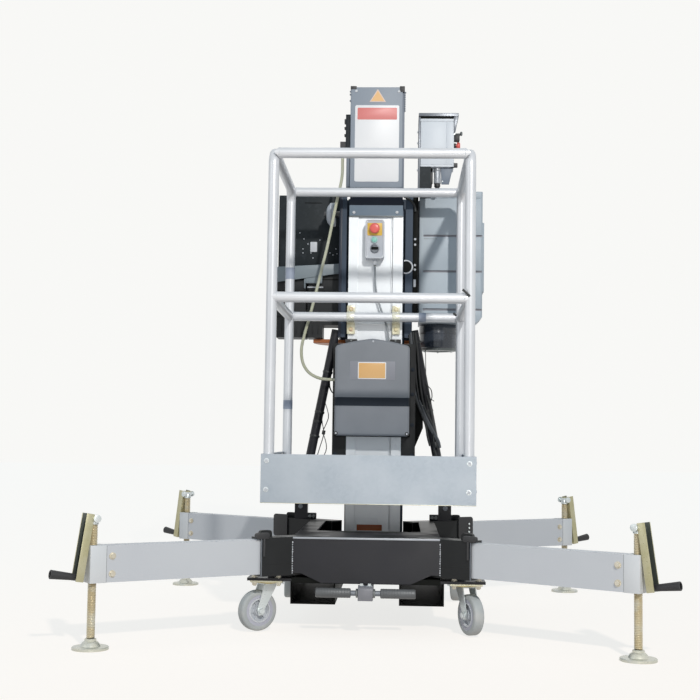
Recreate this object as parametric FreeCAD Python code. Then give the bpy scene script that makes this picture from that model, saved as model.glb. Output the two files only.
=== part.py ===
import FreeCAD, Part
import math
import os

# Vertical mast lift. Millimetres, +Z up, +X to the right seen from the basket's open front,
# +Y from the basket towards the mast. The origin is on the floor, midway between the four jack pads.

V = FreeCAD.Vector
UP = V(0, 0, 1)

# Fits and gaps
touch = 0.05
slide_gap = 0.4
pin_gap = 0.06

# Base
base_half_width = 220.0
base_half_depth = 424.0
base_top = 285.5
base_sheet = 6.0
base_rear_edge = base_half_depth - 72.0
skirt_bottom = 152.0
skirt_corner_bottom = 179.5
skirt_half_width = base_half_width - 88.0
skirt_slope_end = base_half_width - 28.0
cutout_half_width = base_half_width - 55.0
opening_land = 269.0
cutout_front = opening_land - base_half_depth
side_panel_inset = 86.0
side_panel_half_length = base_half_depth - side_panel_inset
side_panel_bottom = 150.0
cross_depth = 40.0
cross_height = 16.0
cross_inset = 60.0
runner_overhang = 20.0
runner_inner = 104.0
runner_outer = 152.0

# Outriggers: each beam runs from its jack to its socket's inner end, in the base's corner
jack_half_spacing = 736.0
socket_inset_x = 93.34
socket_inset_y = 99.0
socket_inner_x = base_half_width - socket_inset_x
socket_inner_y = base_half_depth - socket_inset_y
socket_wall = 5.0
socket_gap = 1.0
socket_length = 235.0
beam_width = 50.0
beam_height = 100.0
beam_bottom = 179.5
beam_wall = 4.0
beam_insertion = 115.0
beam_end_inset = 15.0
lock_length = 40.0
lock_height = 20.0
lock_thick = 12.0
lock_inset = 8.0
lock_round = 9.0

# Jacks
spindle_dia = 24.0
spindle_top = 352.0
pad_dia = 100.0
pad_rim = 8.0
pad_bevel = 4.0
pad_cone_dia = 52.0
pad_cone_height = 16.0
collar_wall = 4.0
collar_height = 6.0
collar_bevel = 2.0
crank_head = 12.0
crank_lap = 6.0
crank_width = 40.0
crank_depth = 22.0
crank_wall = 3.0
crank_length = 172.0
crank_lean = 8.5
grip_dia = 25.0
grip_root_dia = 17.0
grip_length = 74.0
grip_pin_dia = 12.0
grip_neck = 8.0

# Fork pockets and drawbar
pocket_inner = 98.0
pocket_outer = base_half_width + 16.0
pocket_bottom = 69.0
pocket_inset = 154.0
pocket_half_length = base_half_depth - pocket_inset
pocket_wall = 5.0
drawbar_side = 24.0
drawbar_drop = 23.0
drawbar_height = side_panel_bottom - drawbar_drop
drawbar_front = -base_half_depth - 22.0
drawbar_tail = 150.0
drawbar_block = 44.0
drawbar_block_height = 40.0
drawbar_grip_dia = 28.0
drawbar_grip_half = 147.0
drawbar_rod_dia = 16.0
drawbar_neck_half = 45.0
guide_wall = 6.0
guide_front = 52.0 - base_half_depth
guide_length = 210.0

# Casters
wheel_radius = 60.0
wheel_width = 32.0
wheel_lift = 3.0
hub_radius = 36.0
axle_dia = 12.0
caster_trail = 35.0
caster_plate_top = 154.0
caster_plate_side = 96.0
caster_plate_thick = 6.0
race_dia = 64.0
race_height = 9.0
fork_gap = 3.0
fork_wall = 3.5
fork_crown = 4.0
fork_side_top_width = 44.0
fork_side_foot = 13.0
fork_foot_taper = 0.6
axle_nut_reach = 7.0
wheel_recess = 7.0
wheel_shoulder = 9.0
wheel_crown = 2.0
bracket_thick = 8.0
bracket_margin = 8.0
bracket_rib = 8.0
caster_x = base_half_width + 77.0
caster_y = base_half_depth - 68.0

# Mast sections, one in front of the other, from the fixed rear one to the foremost stage
mast_half_width = 135.0
mast_core_half = 108.0
stage_half_width = 102.0
wing_bottom = 948.0
mast_back = 520.0
mast_front = 388.0
mast_wall = 6.0
section_depth = 26.0
section_gap = 6.0
section_slot = 8.0
section_slot_depth = 5.0
foot_thick = 7.0
mast_bottom = 173.0
mast_top = 1480.0
mast_top_step = 8.0
stage_bottom = 186.0
pad_height = 110.0
pad_inner = 50.0
pad_outer = 85.0
pad_drop = 12.0
foot_margin = 2.0
foot_front = 8.0
stage_names = ["mast_stage_1", "mast_stage_2", "mast_stage_3"]

# Carriage profile that carries the basket
carriage_half_width = 99.0
carriage_front = 364.0
carriage_back = 392.0
carriage_bottom = 200.0
carriage_top = 1389.0
carriage_recess = 7.0
carriage_flange = 34.0
groove_width = 8.0
groove_place = 62.0
cap_height = 42.0
cap_lip = 5.0
plate_half_width = 150.0
plate_thick = 12.0
plate_height = 545.0

# Basket
post_x = 308.0
post_front_y = -295.0
post_rear_y = 314.0
tube_dia = 33.0
tube_wall = 2.5
hoop_top = 1492.0
hoop_bend = 45.0
front_rail_z = 1470.0
rail_top_z = 1469.0
rail_mid_z = 1015.0
toe_half_width = 330.0
toe_bottom = 378.0
toe_height = 150.0
toe_thick = 3.0
bearer_height = 30.0
floor_bottom = toe_bottom + bearer_height + 2.0
floor_thick = 6.0
bearer_width = 40.0
bearer_x = 75.0
bearer_front_inset = 15.0
bearer_rear_gap = 8.0
hanger_thick = 12.0
hanger_rise = 130.0
clamp_places = [-87.0, 77.0]
clamp_half_width = 15.0
clamp_half_height = 42.0
clamp_cheek_height = 21.0
clamp_front_wall = 4.0

# Root pieces on the mast
brace_dia = 33.0
brace_wall = 3.0
brace_y = 404.0
brace_foot_x = base_half_width + 42.0
brace_foot_offset = 12.3
brace_foot_z = 352.0
brace_top_z = 975.0
brace_stand_off = 7.0
brace_foot_width = 46.0
brace_foot_depth = 40.0
brace_foot_lap = 14.0
brace_foot_shift = 2.0
loading_wheel_y = 497.0
loading_wheel_z = 1420.0
loading_wheel_dia = 90.0
loading_wheel_inner = 22.0
loading_wheel_rim = 40.0
loading_wheel_outer = 55.0
loading_wheel_taper = 14.0
loading_nose_dia = 40.0
loading_axle_dia = 14.0
loading_collar_dia = 26.0
loading_cap_dia = 22.0
loading_cap_thick = 8.0

# Power cabinet and motor, right of the mast
cabinet_stand_off = 25.0
cabinet_right = 394.0
cabinet_front = 440.0
cabinet_rear = 640.0
cabinet_bottom = 1010.0
cabinet_height = 490.0
cabinet_round = 9.0
bulge_left = 350.0
bulge_right = 401.0
bulge_inset = 15.0
bulge_rise = 117.0
bulge_height = 259.0
cabinet_bevel = 22.0
mount_inset = 30.0
cabinet_groove_rises = [44.0, 186.0, 319.0]
cabinet_groove_height = 8.0
cabinet_groove_depth = 6.0
motor_x = 237.0
motor_y = 565.0
motor_dia = 146.0
motor_height = 98.0
motor_bevel = 10.0

# Panel, ledge and batteries, left of the mast
panel_left = -380.0
panel_right = -100.0
panel_front = 590.0
panel_thick = 10.0
panel_bottom = 1195.0
panel_height = 317.0
ledge_front = 480.0
ledge_thick = 23.0
apron_thick = 6.0
apron_drop = 35.0
apron_rise = 14.0
battery_left = -374.0
battery_split = -260.0
battery_split_gap = 4.0
battery_front = 500.0
battery_height = 241.0
notch_left = -200.0
notch_height = 48.0
battery_round = 5.0

# Half-round tray on the mast's back
dish_x = -45.0
dish_bottom = 936.0
dish_radius = 190.0
dish_depth = 14.0
dish_wall = 4.0
dish_lap = 10.0

# Cover box on the carriage, arched on top
cover_left = -138.0
cover_right = 128.0
cover_bottom = 588.0
cover_top = 934.0
cover_front = 264.0
cover_shoulder = 26.0
cover_round = 14.0

# Push button box on the carriage
pendant_left = -37.0
pendant_right = 31.0
pendant_front = 318.0
pendant_bottom = 1229.0
pendant_height = 142.0
pendant_round = 8.0

# Housing above the carriage, its post and its switch strip
housing_half_width = 100.0
housing_front = 370.0
housing_back = 455.0
housing_bottom = 1498.0
housing_height = 381.0
spine_half_width = 97.0
spine_inset = 2.0
strip_left = -117.0
strip_front = 385.0
strip_back = 425.0
strip_rise = 142.0
strip_bottom = housing_bottom + strip_rise
strip_height = 136.0
gland_dia = 18.0
gland_drop = 18.0
gland_block_top = 44.0
gland_half_depth = 11.0

# Control box, its hood and its stand on the rear rail
control_left = 158.0
control_right = 282.0
control_front = 352.0
control_back = 452.0
control_bottom = 1574.0
control_height = 190.0
control_round = 5.0
hood_right = 300.0
hood_margin = 6.0
hood_drop = 14.0
hood_height = 22.0
stand_width = 40.0
stand_thick = 6.0
stand_bottom = 1457.0
stand_foot_bottom = 1458.0
stand_foot_top = 1486.0

# Cords
conduit_dia = 11.0
pendant_cord_dia = 7.0
pendant_cord_end = 51.0


def box(low, high):
    """A block between two corners."""
    size = V(*high) - V(*low)
    return Part.makeBox(size.x, size.y, size.z, V(*low))


def rod(start, end, dia):
    """A round bar from start to end."""
    start, end = V(*start), V(*end)
    return Part.makeCylinder(dia / 2, (end - start).Length, start, end - start)


def tube(start, end, dia, wall):
    """A round tube from start to end."""
    return rod(start, end, dia).cut(rod(start, end, dia - 2 * wall))


def plate(points, thick, direction=UP):
    """A flat plate with the given outline, thickened along direction."""
    outline = [V(*p) for p in points]
    return Part.Face(Part.makePolygon(outline + outline[:1])).extrude(direction * thick)


def box_tube(low, high, wall, axis):
    """A rectangular tube open at both ends, running along axis 0, 1 or 2."""
    inner_low = [v + (0 if i == axis else wall) for i, v in enumerate(low)]
    inner_high = [v - (0 if i == axis else wall) for i, v in enumerate(high)]
    return box(low, high).cut(box(inner_low, inner_high))


def turned(profile, axis_at):
    """A solid of revolution about a vertical axis from (radius, height) pairs."""
    points = [V(r, 0, z) for r, z in profile]
    solid = Part.Face(Part.makePolygon(points + points[:1])).revolve(V(0, 0, 0), UP, 360)
    solid.translate(V(*axis_at))
    return solid


def joined(solids):
    """One solid from overlapping ones."""
    whole = solids[0].fuse(solids[1:]) if len(solids) > 1 else solids[0]
    return whole.removeSplitter()


def set_of(solids):
    """Separate solids kept together in one piece."""
    return Part.makeCompound(solids)


def mirrored(shape, sx, sy):
    """The shape drawn for the +X +Y corner, moved to the corner with signs sx and sy."""
    if sx < 0:
        shape = shape.mirror(V(0, 0, 0), V(1, 0, 0))
    if sy < 0:
        shape = shape.mirror(V(0, 0, 0), V(0, 1, 0))
    return shape


# Corner name, side, end, and the rest direction of the caster's trail in degrees
CORNERS = [
    ("fl", -1, -1, 217.0),
    ("fr", 1, -1, -66.0),
    ("rl", -1, 1, 95.0),
    ("rr", 1, 1, 80.0),
]

jack_at = V(jack_half_spacing, jack_half_spacing, 0)
to_socket = V(socket_inner_x, socket_inner_y, 0) - jack_at
beam_turn = math.degrees(math.atan2(to_socket.y, to_socket.x))
socket_start = to_socket.Length - socket_length
beam_length = socket_start + beam_insertion


def along_beam(shape):
    """Turns a shape drawn along +X from the origin to run inward from the jack."""
    shape = shape.copy()
    shape.rotate(V(0, 0, 0), UP, beam_turn)
    shape.translate(jack_at)
    return shape


def beam():
    """An outrigger beam: a rectangular tube with the jack's end block."""
    low = [beam_end_inset, -beam_width / 2, beam_bottom]
    high = [beam_length, beam_width / 2, beam_bottom + beam_height]
    arm = box_tube(low, high, beam_wall, 0)
    block = box(
        [-beam_end_inset, -beam_width / 2, beam_bottom],
        [beam_end_inset + touch, beam_width / 2, beam_bottom + beam_height],
    )
    arm = joined([arm, block])
    bore = rod((0, 0, beam_bottom - 1), (0, 0, beam_bottom + beam_height + 1), spindle_dia + 2 * pin_gap)
    return along_beam(arm.cut(bore))


def socket_envelope(extra):
    """The outside of a beam socket, grown by extra."""
    side = beam_width / 2 + socket_gap + socket_wall + extra
    lift = socket_gap + socket_wall + extra
    return box(
        [socket_start, -side, beam_bottom - lift],
        [socket_start + socket_length, side, beam_bottom + beam_height + lift],
    )


def beam_socket():
    """A socket that a beam slides in, welded into the base's corner."""
    half = beam_width / 2 + socket_gap
    room = box(
        [socket_start - 1, -half, beam_bottom - socket_gap],
        [socket_start + socket_length + 1, half, beam_bottom + beam_height + socket_gap],
    )
    return along_beam(socket_envelope(0).cut(room))


def socket_lock():
    """The rounded lock plate that stands on a socket's outer end."""
    foot = beam_bottom + beam_height + socket_gap + socket_wall
    start = socket_start + lock_inset
    top = foot + lock_height
    body = box([start, -lock_thick / 2, foot], [start + lock_length, lock_thick / 2, top])
    ends = [e for e in body.Edges if e.BoundBox.ZMin > top - 1 and e.BoundBox.XLength < 0.1]
    return along_beam(body.makeFillet(lock_round, ends))


def jack():
    """Screw spindle with foot pad and folded crank, drawn at the +X +Y corner."""
    stem_radius = spindle_dia / 2
    cone_top = pad_rim + pad_cone_height
    profile = [
        (0, 0),
        (pad_dia / 2, 0),
        (pad_dia / 2, pad_rim),
        (pad_cone_dia / 2, pad_rim + pad_bevel),
        (stem_radius + collar_wall, cone_top),
        (stem_radius + collar_wall, cone_top + collar_height),
        (stem_radius, cone_top + collar_height + collar_bevel),
        (stem_radius, spindle_top),
        (0, spindle_top),
    ]
    stem = turned(profile, (jack_half_spacing, jack_half_spacing, 0))
    crank = box([-crank_width / 2, -crank_depth, -crank_length], [crank_width / 2, 0, crank_head])
    room = box(
        [-crank_width / 2 + crank_wall, -crank_depth - 1, -crank_length - 1],
        [crank_width / 2 - crank_wall, -crank_wall, crank_head - crank_wall],
    )
    grip_z = crank_width / 4 - crank_length
    grip_start = -crank_wall - grip_neck
    pin = rod((0, -crank_wall + 1, grip_z), (0, grip_start - 1, grip_z), grip_pin_dia)
    grip = Part.makeCone(grip_root_dia / 2, grip_dia / 2, grip_length, V(0, grip_start, grip_z), V(0, -1, 0))
    crank = joined([crank.cut(room), pin, grip])
    crank.rotate(V(0, 0, 0), V(1, 0, 0), -crank_lean)
    crank.rotate(V(0, 0, 0), UP, -90)
    crank.translate(V(crank_lap - stem_radius, 0, spindle_top))
    return joined([stem, along_beam(crank)])


def base_cut(shape):
    """Takes the four sockets' places out of a base piece."""
    for name, sx, sy, trail in CORNERS:
        shape = shape.cut(mirrored(along_beam(socket_envelope(touch)), sx, sy))
    return shape


def base_top_plate():
    """Top plate with the opening in front of the mast."""
    low = base_top - base_sheet
    outline = [
        (-base_half_width, -base_half_depth, low),
        (base_half_width, -base_half_depth, low),
        (base_half_width, base_rear_edge, low),
        (cutout_half_width, base_rear_edge, low),
        (cutout_half_width, cutout_front, low),
        (-cutout_half_width, cutout_front, low),
        (-cutout_half_width, base_rear_edge, low),
        (-base_half_width, base_rear_edge, low),
    ]
    return base_cut(plate(outline, base_sheet))


def base_front_panel():
    """Front panel with its dropped middle."""
    top = base_top - base_sheet - touch
    outline = [
        (-base_half_width, -base_half_depth, top),
        (-base_half_width, -base_half_depth, skirt_corner_bottom),
        (-skirt_slope_end, -base_half_depth, skirt_corner_bottom),
        (-skirt_half_width, -base_half_depth, skirt_bottom),
        (skirt_half_width, -base_half_depth, skirt_bottom),
        (skirt_slope_end, -base_half_depth, skirt_corner_bottom),
        (base_half_width, -base_half_depth, skirt_corner_bottom),
        (base_half_width, -base_half_depth, top),
    ]
    return base_cut(plate(outline, base_sheet, V(0, 1, 0)))


def base_frame():
    """Side panels, cross members on the fork pockets, and two runners back under the mast."""
    low = side_panel_bottom + touch
    top = base_top - base_sheet - touch
    member_top = side_panel_bottom + cross_height
    half = side_panel_half_length
    cross = half - cross_inset
    pieces = [
        box([-base_half_width, cross - cross_depth, low], [base_half_width, cross, member_top]),
        box(
            [-base_half_width, -base_half_depth + base_sheet + touch, low],
            [base_half_width, cross_depth - cross, member_top],
        ),
    ]
    for side in (-1, 1):
        x_low, x_high = sorted((side * base_half_width, side * (base_half_width - base_sheet)))
        pieces.append(box([x_low, -half, low], [x_high, half, top]))
        x_low, x_high = sorted((side * runner_inner, side * runner_outer))
        pieces.append(box([x_low, -half, low], [x_high, mast_back + runner_overhang, member_top]))
    return base_cut(joined(pieces))


def fork_pockets():
    """Two rectangular tubes for a forklift's forks."""
    top = side_panel_bottom
    tubes = []
    for side in (-1, 1):
        x_low, x_high = sorted((side * pocket_inner, side * pocket_outer))
        low = [x_low, -pocket_half_length, pocket_bottom]
        tubes.append(box_tube(low, [x_high, pocket_half_length, top], pocket_wall, 1))
    return set_of(tubes)


def mast_foot():
    """Foot plate of the mast, across the base's two runners."""
    half = mast_half_width + foot_margin
    return box(
        [-half, mast_front - foot_front, mast_bottom - foot_thick + touch],
        [half, mast_back + runner_overhang, mast_bottom - touch],
    )


def drawbar_guide():
    """Square sleeve that the drawbar slides in, hung between the pockets."""
    half = drawbar_side / 2 + slide_gap
    outer = half + guide_wall
    sleeve = box_tube(
        [-outer, guide_front, drawbar_height - outer],
        [outer, guide_front + guide_length, drawbar_height + outer],
        guide_wall,
        1,
    )
    hanger = box(
        [-pocket_inner + touch, guide_front, drawbar_height + outer - touch],
        [pocket_inner - touch, guide_front + guide_length, side_panel_bottom],
    )
    return joined([sleeve, hanger])


def drawbar():
    """Pull handle: square bar, centre block and two round grips."""
    half = drawbar_side / 2
    y, z = drawbar_front, drawbar_height
    bar = box([-half, y, z - half], [half, drawbar_tail, z + half])
    side, rise = drawbar_block / 2, drawbar_block_height / 2
    block = box([-side, y - side, z - rise], [side, y + side, z + rise])
    cross = rod((-drawbar_grip_half + 1, y, z), (drawbar_grip_half - 1, y, z), drawbar_rod_dia)
    grips = [
        rod((end * drawbar_neck_half, y, z), (end * drawbar_grip_half, y, z), drawbar_grip_dia)
        for end in (-1, 1)
    ]
    return joined([bar, block, cross] + grips)


def caster_bracket():
    """Plate on the base's side that a caster is bolted to, with a rib up to the socket."""
    low = caster_plate_top
    half = caster_plate_side / 2 + bracket_margin
    wing = box(
        [base_half_width + touch, caster_y - half, low],
        [caster_x + half, caster_y + half, low + bracket_thick],
    )
    rib = box(
        [base_half_width + touch, caster_y - bracket_rib / 2, low + bracket_thick - 1],
        [caster_x, caster_y + bracket_rib / 2, beam_bottom + beam_height / 2],
    )
    piece = joined([wing, rib]).cut(along_beam(socket_envelope(touch)))
    return max(piece.Solids, key=lambda s: s.Volume)


def caster_top():
    """Bolted swivel plate of a caster."""
    half = caster_plate_side / 2
    low = caster_plate_top - caster_plate_thick
    high = caster_plate_top - touch
    top = box([caster_x - half, caster_y - half, low], [caster_x + half, caster_y + half, high])
    race = rod((caster_x, caster_y, low - race_height / 2), (caster_x, caster_y, low + 1), race_dia)
    return joined([top, race])


def caster_fork():
    """Fork of a caster drawn at the origin with its trail along +X."""
    crown_top = caster_plate_top - caster_plate_thick - race_height / 2 - slide_gap
    axle_z = wheel_radius + wheel_lift
    inner = wheel_width / 2 + fork_gap
    half_top = fork_side_top_width / 2
    foot = fork_side_foot
    crown = box(
        [-half_top, -inner - fork_wall, crown_top - fork_crown],
        [half_top, inner + fork_wall, crown_top],
    )
    sides = []
    for y in (-inner - fork_wall, inner):
        outline = [
            (-half_top, y, crown_top),
            (half_top, y, crown_top),
            (caster_trail + foot, y, axle_z + foot / 3),
            (caster_trail + foot * fork_foot_taper, y, axle_z - foot),
            (caster_trail - foot * fork_foot_taper, y, axle_z - foot),
            (caster_trail - foot, y, axle_z + foot / 3),
        ]
        sides.append(plate(outline, fork_wall, V(0, 1, 0)))
    reach = inner + fork_wall + axle_nut_reach
    axle = rod((caster_trail, -reach, axle_z), (caster_trail, reach, axle_z), axle_dia)
    return joined([crown] + sides + [axle])


def caster_wheel():
    """Wheel with a rounded tread and a recessed hub, drawn at the origin along the Y axis."""
    half = wheel_width / 2
    one_side = [
        (axle_dia / 2 + pin_gap, half),
        (hub_radius * 0.45, half),
        (hub_radius * 0.55, half - wheel_recess),
        (hub_radius * 0.9, half - wheel_recess),
        (hub_radius, half - 1),
        (wheel_radius - wheel_shoulder, half),
        (wheel_radius - wheel_crown, half - wheel_recess),
    ]
    other_side = [(radius, -height) for radius, height in one_side]
    wheel = turned(other_side + [(wheel_radius, 0)] + one_side[::-1], (0, 0, 0))
    wheel.rotate(V(0, 0, 0), V(1, 0, 0), 90)
    wheel.translate(V(caster_trail, 0, wheel_radius + wheel_lift))
    return wheel


def at_caster(shape, sx, sy, trail):
    """Turns a caster part to its rest direction and moves it to its corner."""
    shape = shape.copy()
    shape.rotate(V(0, 0, 0), UP, trail)
    shape.translate(V(sx * caster_x, sy * caster_y, 0))
    return shape


def section_bar(half, front, back, low, high):
    """A mast extrusion with a guide slot down each side."""
    middle = (front + back) / 2
    y_low, y_high = middle - section_slot / 2, middle + section_slot / 2
    inner = half - section_slot_depth
    outline = [
        (-half, front, low),
        (half, front, low),
        (half, y_low, low),
        (inner, y_low, low),
        (inner, y_high, low),
        (half, y_high, low),
        (half, back, low),
        (-half, back, low),
        (-half, y_high, low),
        (-inner, y_high, low),
        (-inner, y_low, low),
        (-half, y_low, low),
    ]
    return plate(outline, high - low)


def mast_wing(side):
    """Folded sheet beside the stages that carries the side units, tied to the rear section."""
    inner, outer, back = mast_core_half, mast_half_width, mast_back
    shell = box([inner, mast_front, wing_bottom], [outer, back, mast_top])
    room = box(
        [inner - 1, mast_front + mast_wall, wing_bottom - 1],
        [outer - mast_wall, back - mast_wall, mast_top + 1],
    )
    tie = box([inner - 1, back - mast_wall, wing_bottom], [inner + 1, back, mast_top])
    wing = joined([shell.cut(room), tie])
    return wing if side > 0 else wing.mirror(V(0, 0, 0), V(1, 0, 0))


def slide_pads(face, reach, low, high):
    """Two pads from a section's face to its neighbour."""
    y_low, y_high = sorted((face, face + reach))
    pads = []
    for side in (-1, 1):
        x_low, x_high = sorted((side * pad_inner, side * pad_outer))
        pads.append(box([x_low, y_low, low], [x_high, y_high, high]))
    return pads


def mast_sections():
    """The fixed rear section and its stages, each with slide pads towards its neighbour."""
    sections = {}
    names = ["mast_outer"] + stage_names
    reach = section_gap - slide_gap
    for i, name in enumerate(names):
        half = stage_half_width if i else mast_core_half
        low = stage_bottom if i else mast_bottom
        back = mast_back - i * (section_depth + section_gap)
        front = back - section_depth
        high = mast_top - i * mast_top_step
        pad_top = high - pad_drop
        solids = [section_bar(half, front, back, low, high)]
        solids += slide_pads(front, -reach, pad_top - pad_height, pad_top)
        if i:
            solids += slide_pads(back, reach, low, low + pad_height)
        else:
            solids += [mast_wing(-1), mast_wing(1)]
        sections[name] = joined(solids)
    return sections


def carriage_profile():
    """Extruded profile with side flanges, a recessed face and a groove."""
    w, front, back = carriage_half_width, carriage_front, carriage_back
    inner = w - carriage_flange
    low = carriage_bottom
    outline = [
        (-w, front, low),
        (-inner, front, low),
        (-inner, front + carriage_recess, low),
        (groove_place - groove_width / 2, front + carriage_recess, low),
        (groove_place - groove_width / 2, front + 2 * carriage_recess, low),
        (groove_place + groove_width / 2 - 3, front + 2 * carriage_recess, low),
        (groove_place + groove_width / 2 - 3, front, low),
        (w, front, low),
        (w, back, low),
        (-w, back, low),
    ]
    body = plate(outline, carriage_top - low)
    return joined([body] + slide_pads(back, section_gap - slide_gap, low, low + pad_height))


def carriage_plates():
    """Two upright plates beside the profile, behind the cover box."""
    plates = []
    for side in (-1, 1):
        x_low, x_high = sorted((side * (carriage_half_width + touch), side * plate_half_width))
        low = [x_low, carriage_front, toe_bottom]
        plates.append(box(low, [x_high, carriage_front + plate_thick, toe_bottom + plate_height]))
    return set_of(plates)


def basket_hoops():
    """Two bent tubes, each a front post, a top rail and a rear post."""
    hoops = []
    radius = hoop_bend
    floor_z = floor_bottom + floor_thick + touch
    for side in (-1, 1):
        x = side * post_x
        z = hoop_top - tube_dia / 2
        mid = radius * (1 - math.sqrt(0.5))
        a = V(x, post_front_y, floor_z)
        b = V(x, post_front_y, z - radius)
        c = V(x, post_front_y + radius, z)
        d = V(x, post_rear_y - radius, z)
        e = V(x, post_rear_y, z - radius)
        f = V(x, post_rear_y, floor_z)
        path = Part.Wire(
            [
                Part.makeLine(a, b),
                Part.Arc(b, V(x, post_front_y + mid, z - mid), c).toShape(),
                Part.makeLine(c, d),
                Part.Arc(d, V(x, post_rear_y - mid, z - mid), e).toShape(),
                Part.makeLine(e, f),
            ]
        )
        outer = path.makePipe(Part.Face(Part.Wire(Part.makeCircle(tube_dia / 2, a, UP))))
        inner = path.makePipe(Part.Face(Part.Wire(Part.makeCircle(tube_dia / 2 - tube_wall, a, UP))))
        hoops.append(outer.cut(inner))
    return hoops


def basket_rails(hoops):
    """Straight rails between the hoops and along their sides, coped to the posts."""
    # start, end of each rail's centre line
    lines = [
        ((-post_x, post_front_y, front_rail_z), (post_x, post_front_y, front_rail_z)),
        ((-post_x, post_front_y, rail_mid_z), (post_x, post_front_y, rail_mid_z)),
        ((-post_x, post_rear_y, rail_top_z), (post_x, post_rear_y, rail_top_z)),
        ((-post_x, post_rear_y, rail_mid_z), (post_x, post_rear_y, rail_mid_z)),
        ((-post_x, post_front_y, rail_mid_z), (-post_x, post_rear_y, rail_mid_z)),
        ((post_x, post_front_y, rail_mid_z), (post_x, post_rear_y, rail_mid_z)),
    ]
    cores = []
    for x in (-post_x, post_x):
        for y in (post_front_y, post_rear_y):
            cores.append(rod((x, y, toe_bottom), (x, y, hoop_top), tube_dia + 2 * touch))
    rails = []
    for start, end in lines:
        rail = tube(start, end, tube_dia, tube_wall)
        for core in cores:
            rail = rail.cut(core)
        for hoop in hoops:
            rail = rail.cut(hoop)
        rails.append(max(rail.Solids, key=lambda s: s.Volume))
    return set_of(rails)


def toe_boards():
    """Galvanised boards on three sides of the floor."""
    y_front = post_front_y - tube_dia / 2 - touch
    y_rear = post_rear_y + tube_dia / 2
    w = toe_half_width
    top = toe_bottom + toe_height
    boards = [box([-w, y_front - toe_thick, toe_bottom], [w, y_front, top])]
    for side in (-1, 1):
        x_low, x_high = sorted((side * w, side * (w - toe_thick)))
        boards.append(box([x_low, y_front, toe_bottom], [x_high, y_rear, top]))
    return joined(boards)


def platform_floor():
    """Floor plate inside the toe boards."""
    w = toe_half_width - toe_thick - touch
    y_front = post_front_y - tube_dia / 2
    y_rear = post_rear_y + tube_dia / 2
    return box([-w, y_front, floor_bottom], [w, y_rear, floor_bottom + floor_thick])


def platform_bearers():
    """Two bearers under the floor and the plate that bolts them to the carriage."""
    low = floor_bottom - bearer_height
    pieces = [
        box(
            [-carriage_half_width, carriage_front - hanger_thick, low],
            [carriage_half_width, carriage_front - touch, toe_bottom + hanger_rise],
        )
    ]
    for x in (-bearer_x, bearer_x):
        pieces.append(
            box(
                [x - bearer_width / 2, post_front_y + bearer_front_inset, low],
                [x + bearer_width / 2, carriage_front - bearer_rear_gap, floor_bottom - touch],
            )
        )
    return joined(pieces)


def rail_clamps():
    """Two saddle clamps that hold the rear middle rail to the carriage."""
    clamps = []
    y, z = post_rear_y, rail_mid_z
    front = y - tube_dia / 2 - clamp_front_wall
    for x in clamp_places:
        low, high = x - clamp_half_width, x + clamp_half_width
        block = box(
            [low, front, z - clamp_half_height],
            [high, carriage_front - touch, z + clamp_half_height],
        )
        for end in (-1, 1):
            z_low, z_high = sorted((end * clamp_cheek_height, end * (clamp_half_height + 1)))
            block = block.cut(box([low - 1, front - 1, z + z_low], [high + 1, y, z + z_high]))
        clamps.append(block.cut(rod((low - 1, y, z), (high + 1, y, z), tube_dia + 2 * touch)))
    return set_of(clamps)


def cover_box():
    """Moulded box with an arched top on the carriage's face."""
    left, right, low, high = cover_left, cover_right, cover_bottom, cover_top
    front, rear = cover_front, carriage_front - touch
    edge = high - cover_shoulder
    arc = Part.Arc(V(left, rear, edge), V((left + right) / 2, rear, high), V(right, rear, edge))
    lines = [
        Part.makeLine(V(right, rear, edge), V(right, rear, low)),
        Part.makeLine(V(right, rear, low), V(left, rear, low)),
        Part.makeLine(V(left, rear, low), V(left, rear, edge)),
    ]
    body = Part.Face(Part.Wire([arc.toShape()] + lines)).extrude(V(0, front - rear, 0))
    edges = [e for e in body.Edges if e.BoundBox.YLength < 0.1 and e.BoundBox.YMax < front + 1]
    return body.makeFillet(cover_round, edges)


def arch_height(x):
    """Height of the cover box's arched top at x."""
    half = (cover_right - cover_left) / 2
    radius = (half * half + cover_shoulder * cover_shoulder) / (2 * cover_shoulder)
    offset = x - (cover_left + cover_right) / 2
    return cover_top - radius + math.sqrt(radius * radius - offset * offset)


def pendant_box():
    """Push button box on the carriage's face."""
    rear = carriage_front - touch + carriage_recess
    top = pendant_bottom + pendant_height
    body = box([pendant_left, pendant_front, pendant_bottom], [pendant_right, rear, top])
    depth = rear - pendant_front
    edges = [e for e in body.Edges if e.BoundBox.YLength > depth - 1 and e.BoundBox.ZLength < 0.1]
    return body.makeFillet(pendant_round, edges)


def label_housing():
    """Tall box above the carriage, with the switch strip on its left."""
    half = housing_half_width
    body = box([-half, housing_front, housing_bottom], [half, housing_back, housing_bottom + housing_height])
    strip = box([strip_left, strip_front, strip_bottom], [1 - half, strip_back, strip_bottom + strip_height])
    return joined([body, strip])


def conduit_gland():
    """Gland block on the switch strip, pointing down."""
    x, y, z = CONDUIT[0]
    block = box(
        [x - gland_dia / 2, y - gland_half_depth, z + gland_drop],
        [strip_left - touch, y + gland_half_depth, z + gland_block_top],
    )
    return joined([block, rod((x, y, z + touch), (x, y, z + gland_drop + 1), gland_dia)])


def housing_spine():
    """Post from the carriage's cap up into the housing."""
    return box(
        [-spine_half_width, housing_front + spine_inset, carriage_top + cap_height + touch],
        [spine_half_width, carriage_back - spine_inset, housing_bottom - touch],
    )


def carriage_cap():
    """Bracket that closes the carriage's top."""
    return box(
        [-carriage_half_width + 1, carriage_front - cap_lip, carriage_top + touch],
        [carriage_half_width - 1, carriage_back, carriage_top + cap_height],
    )


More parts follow.
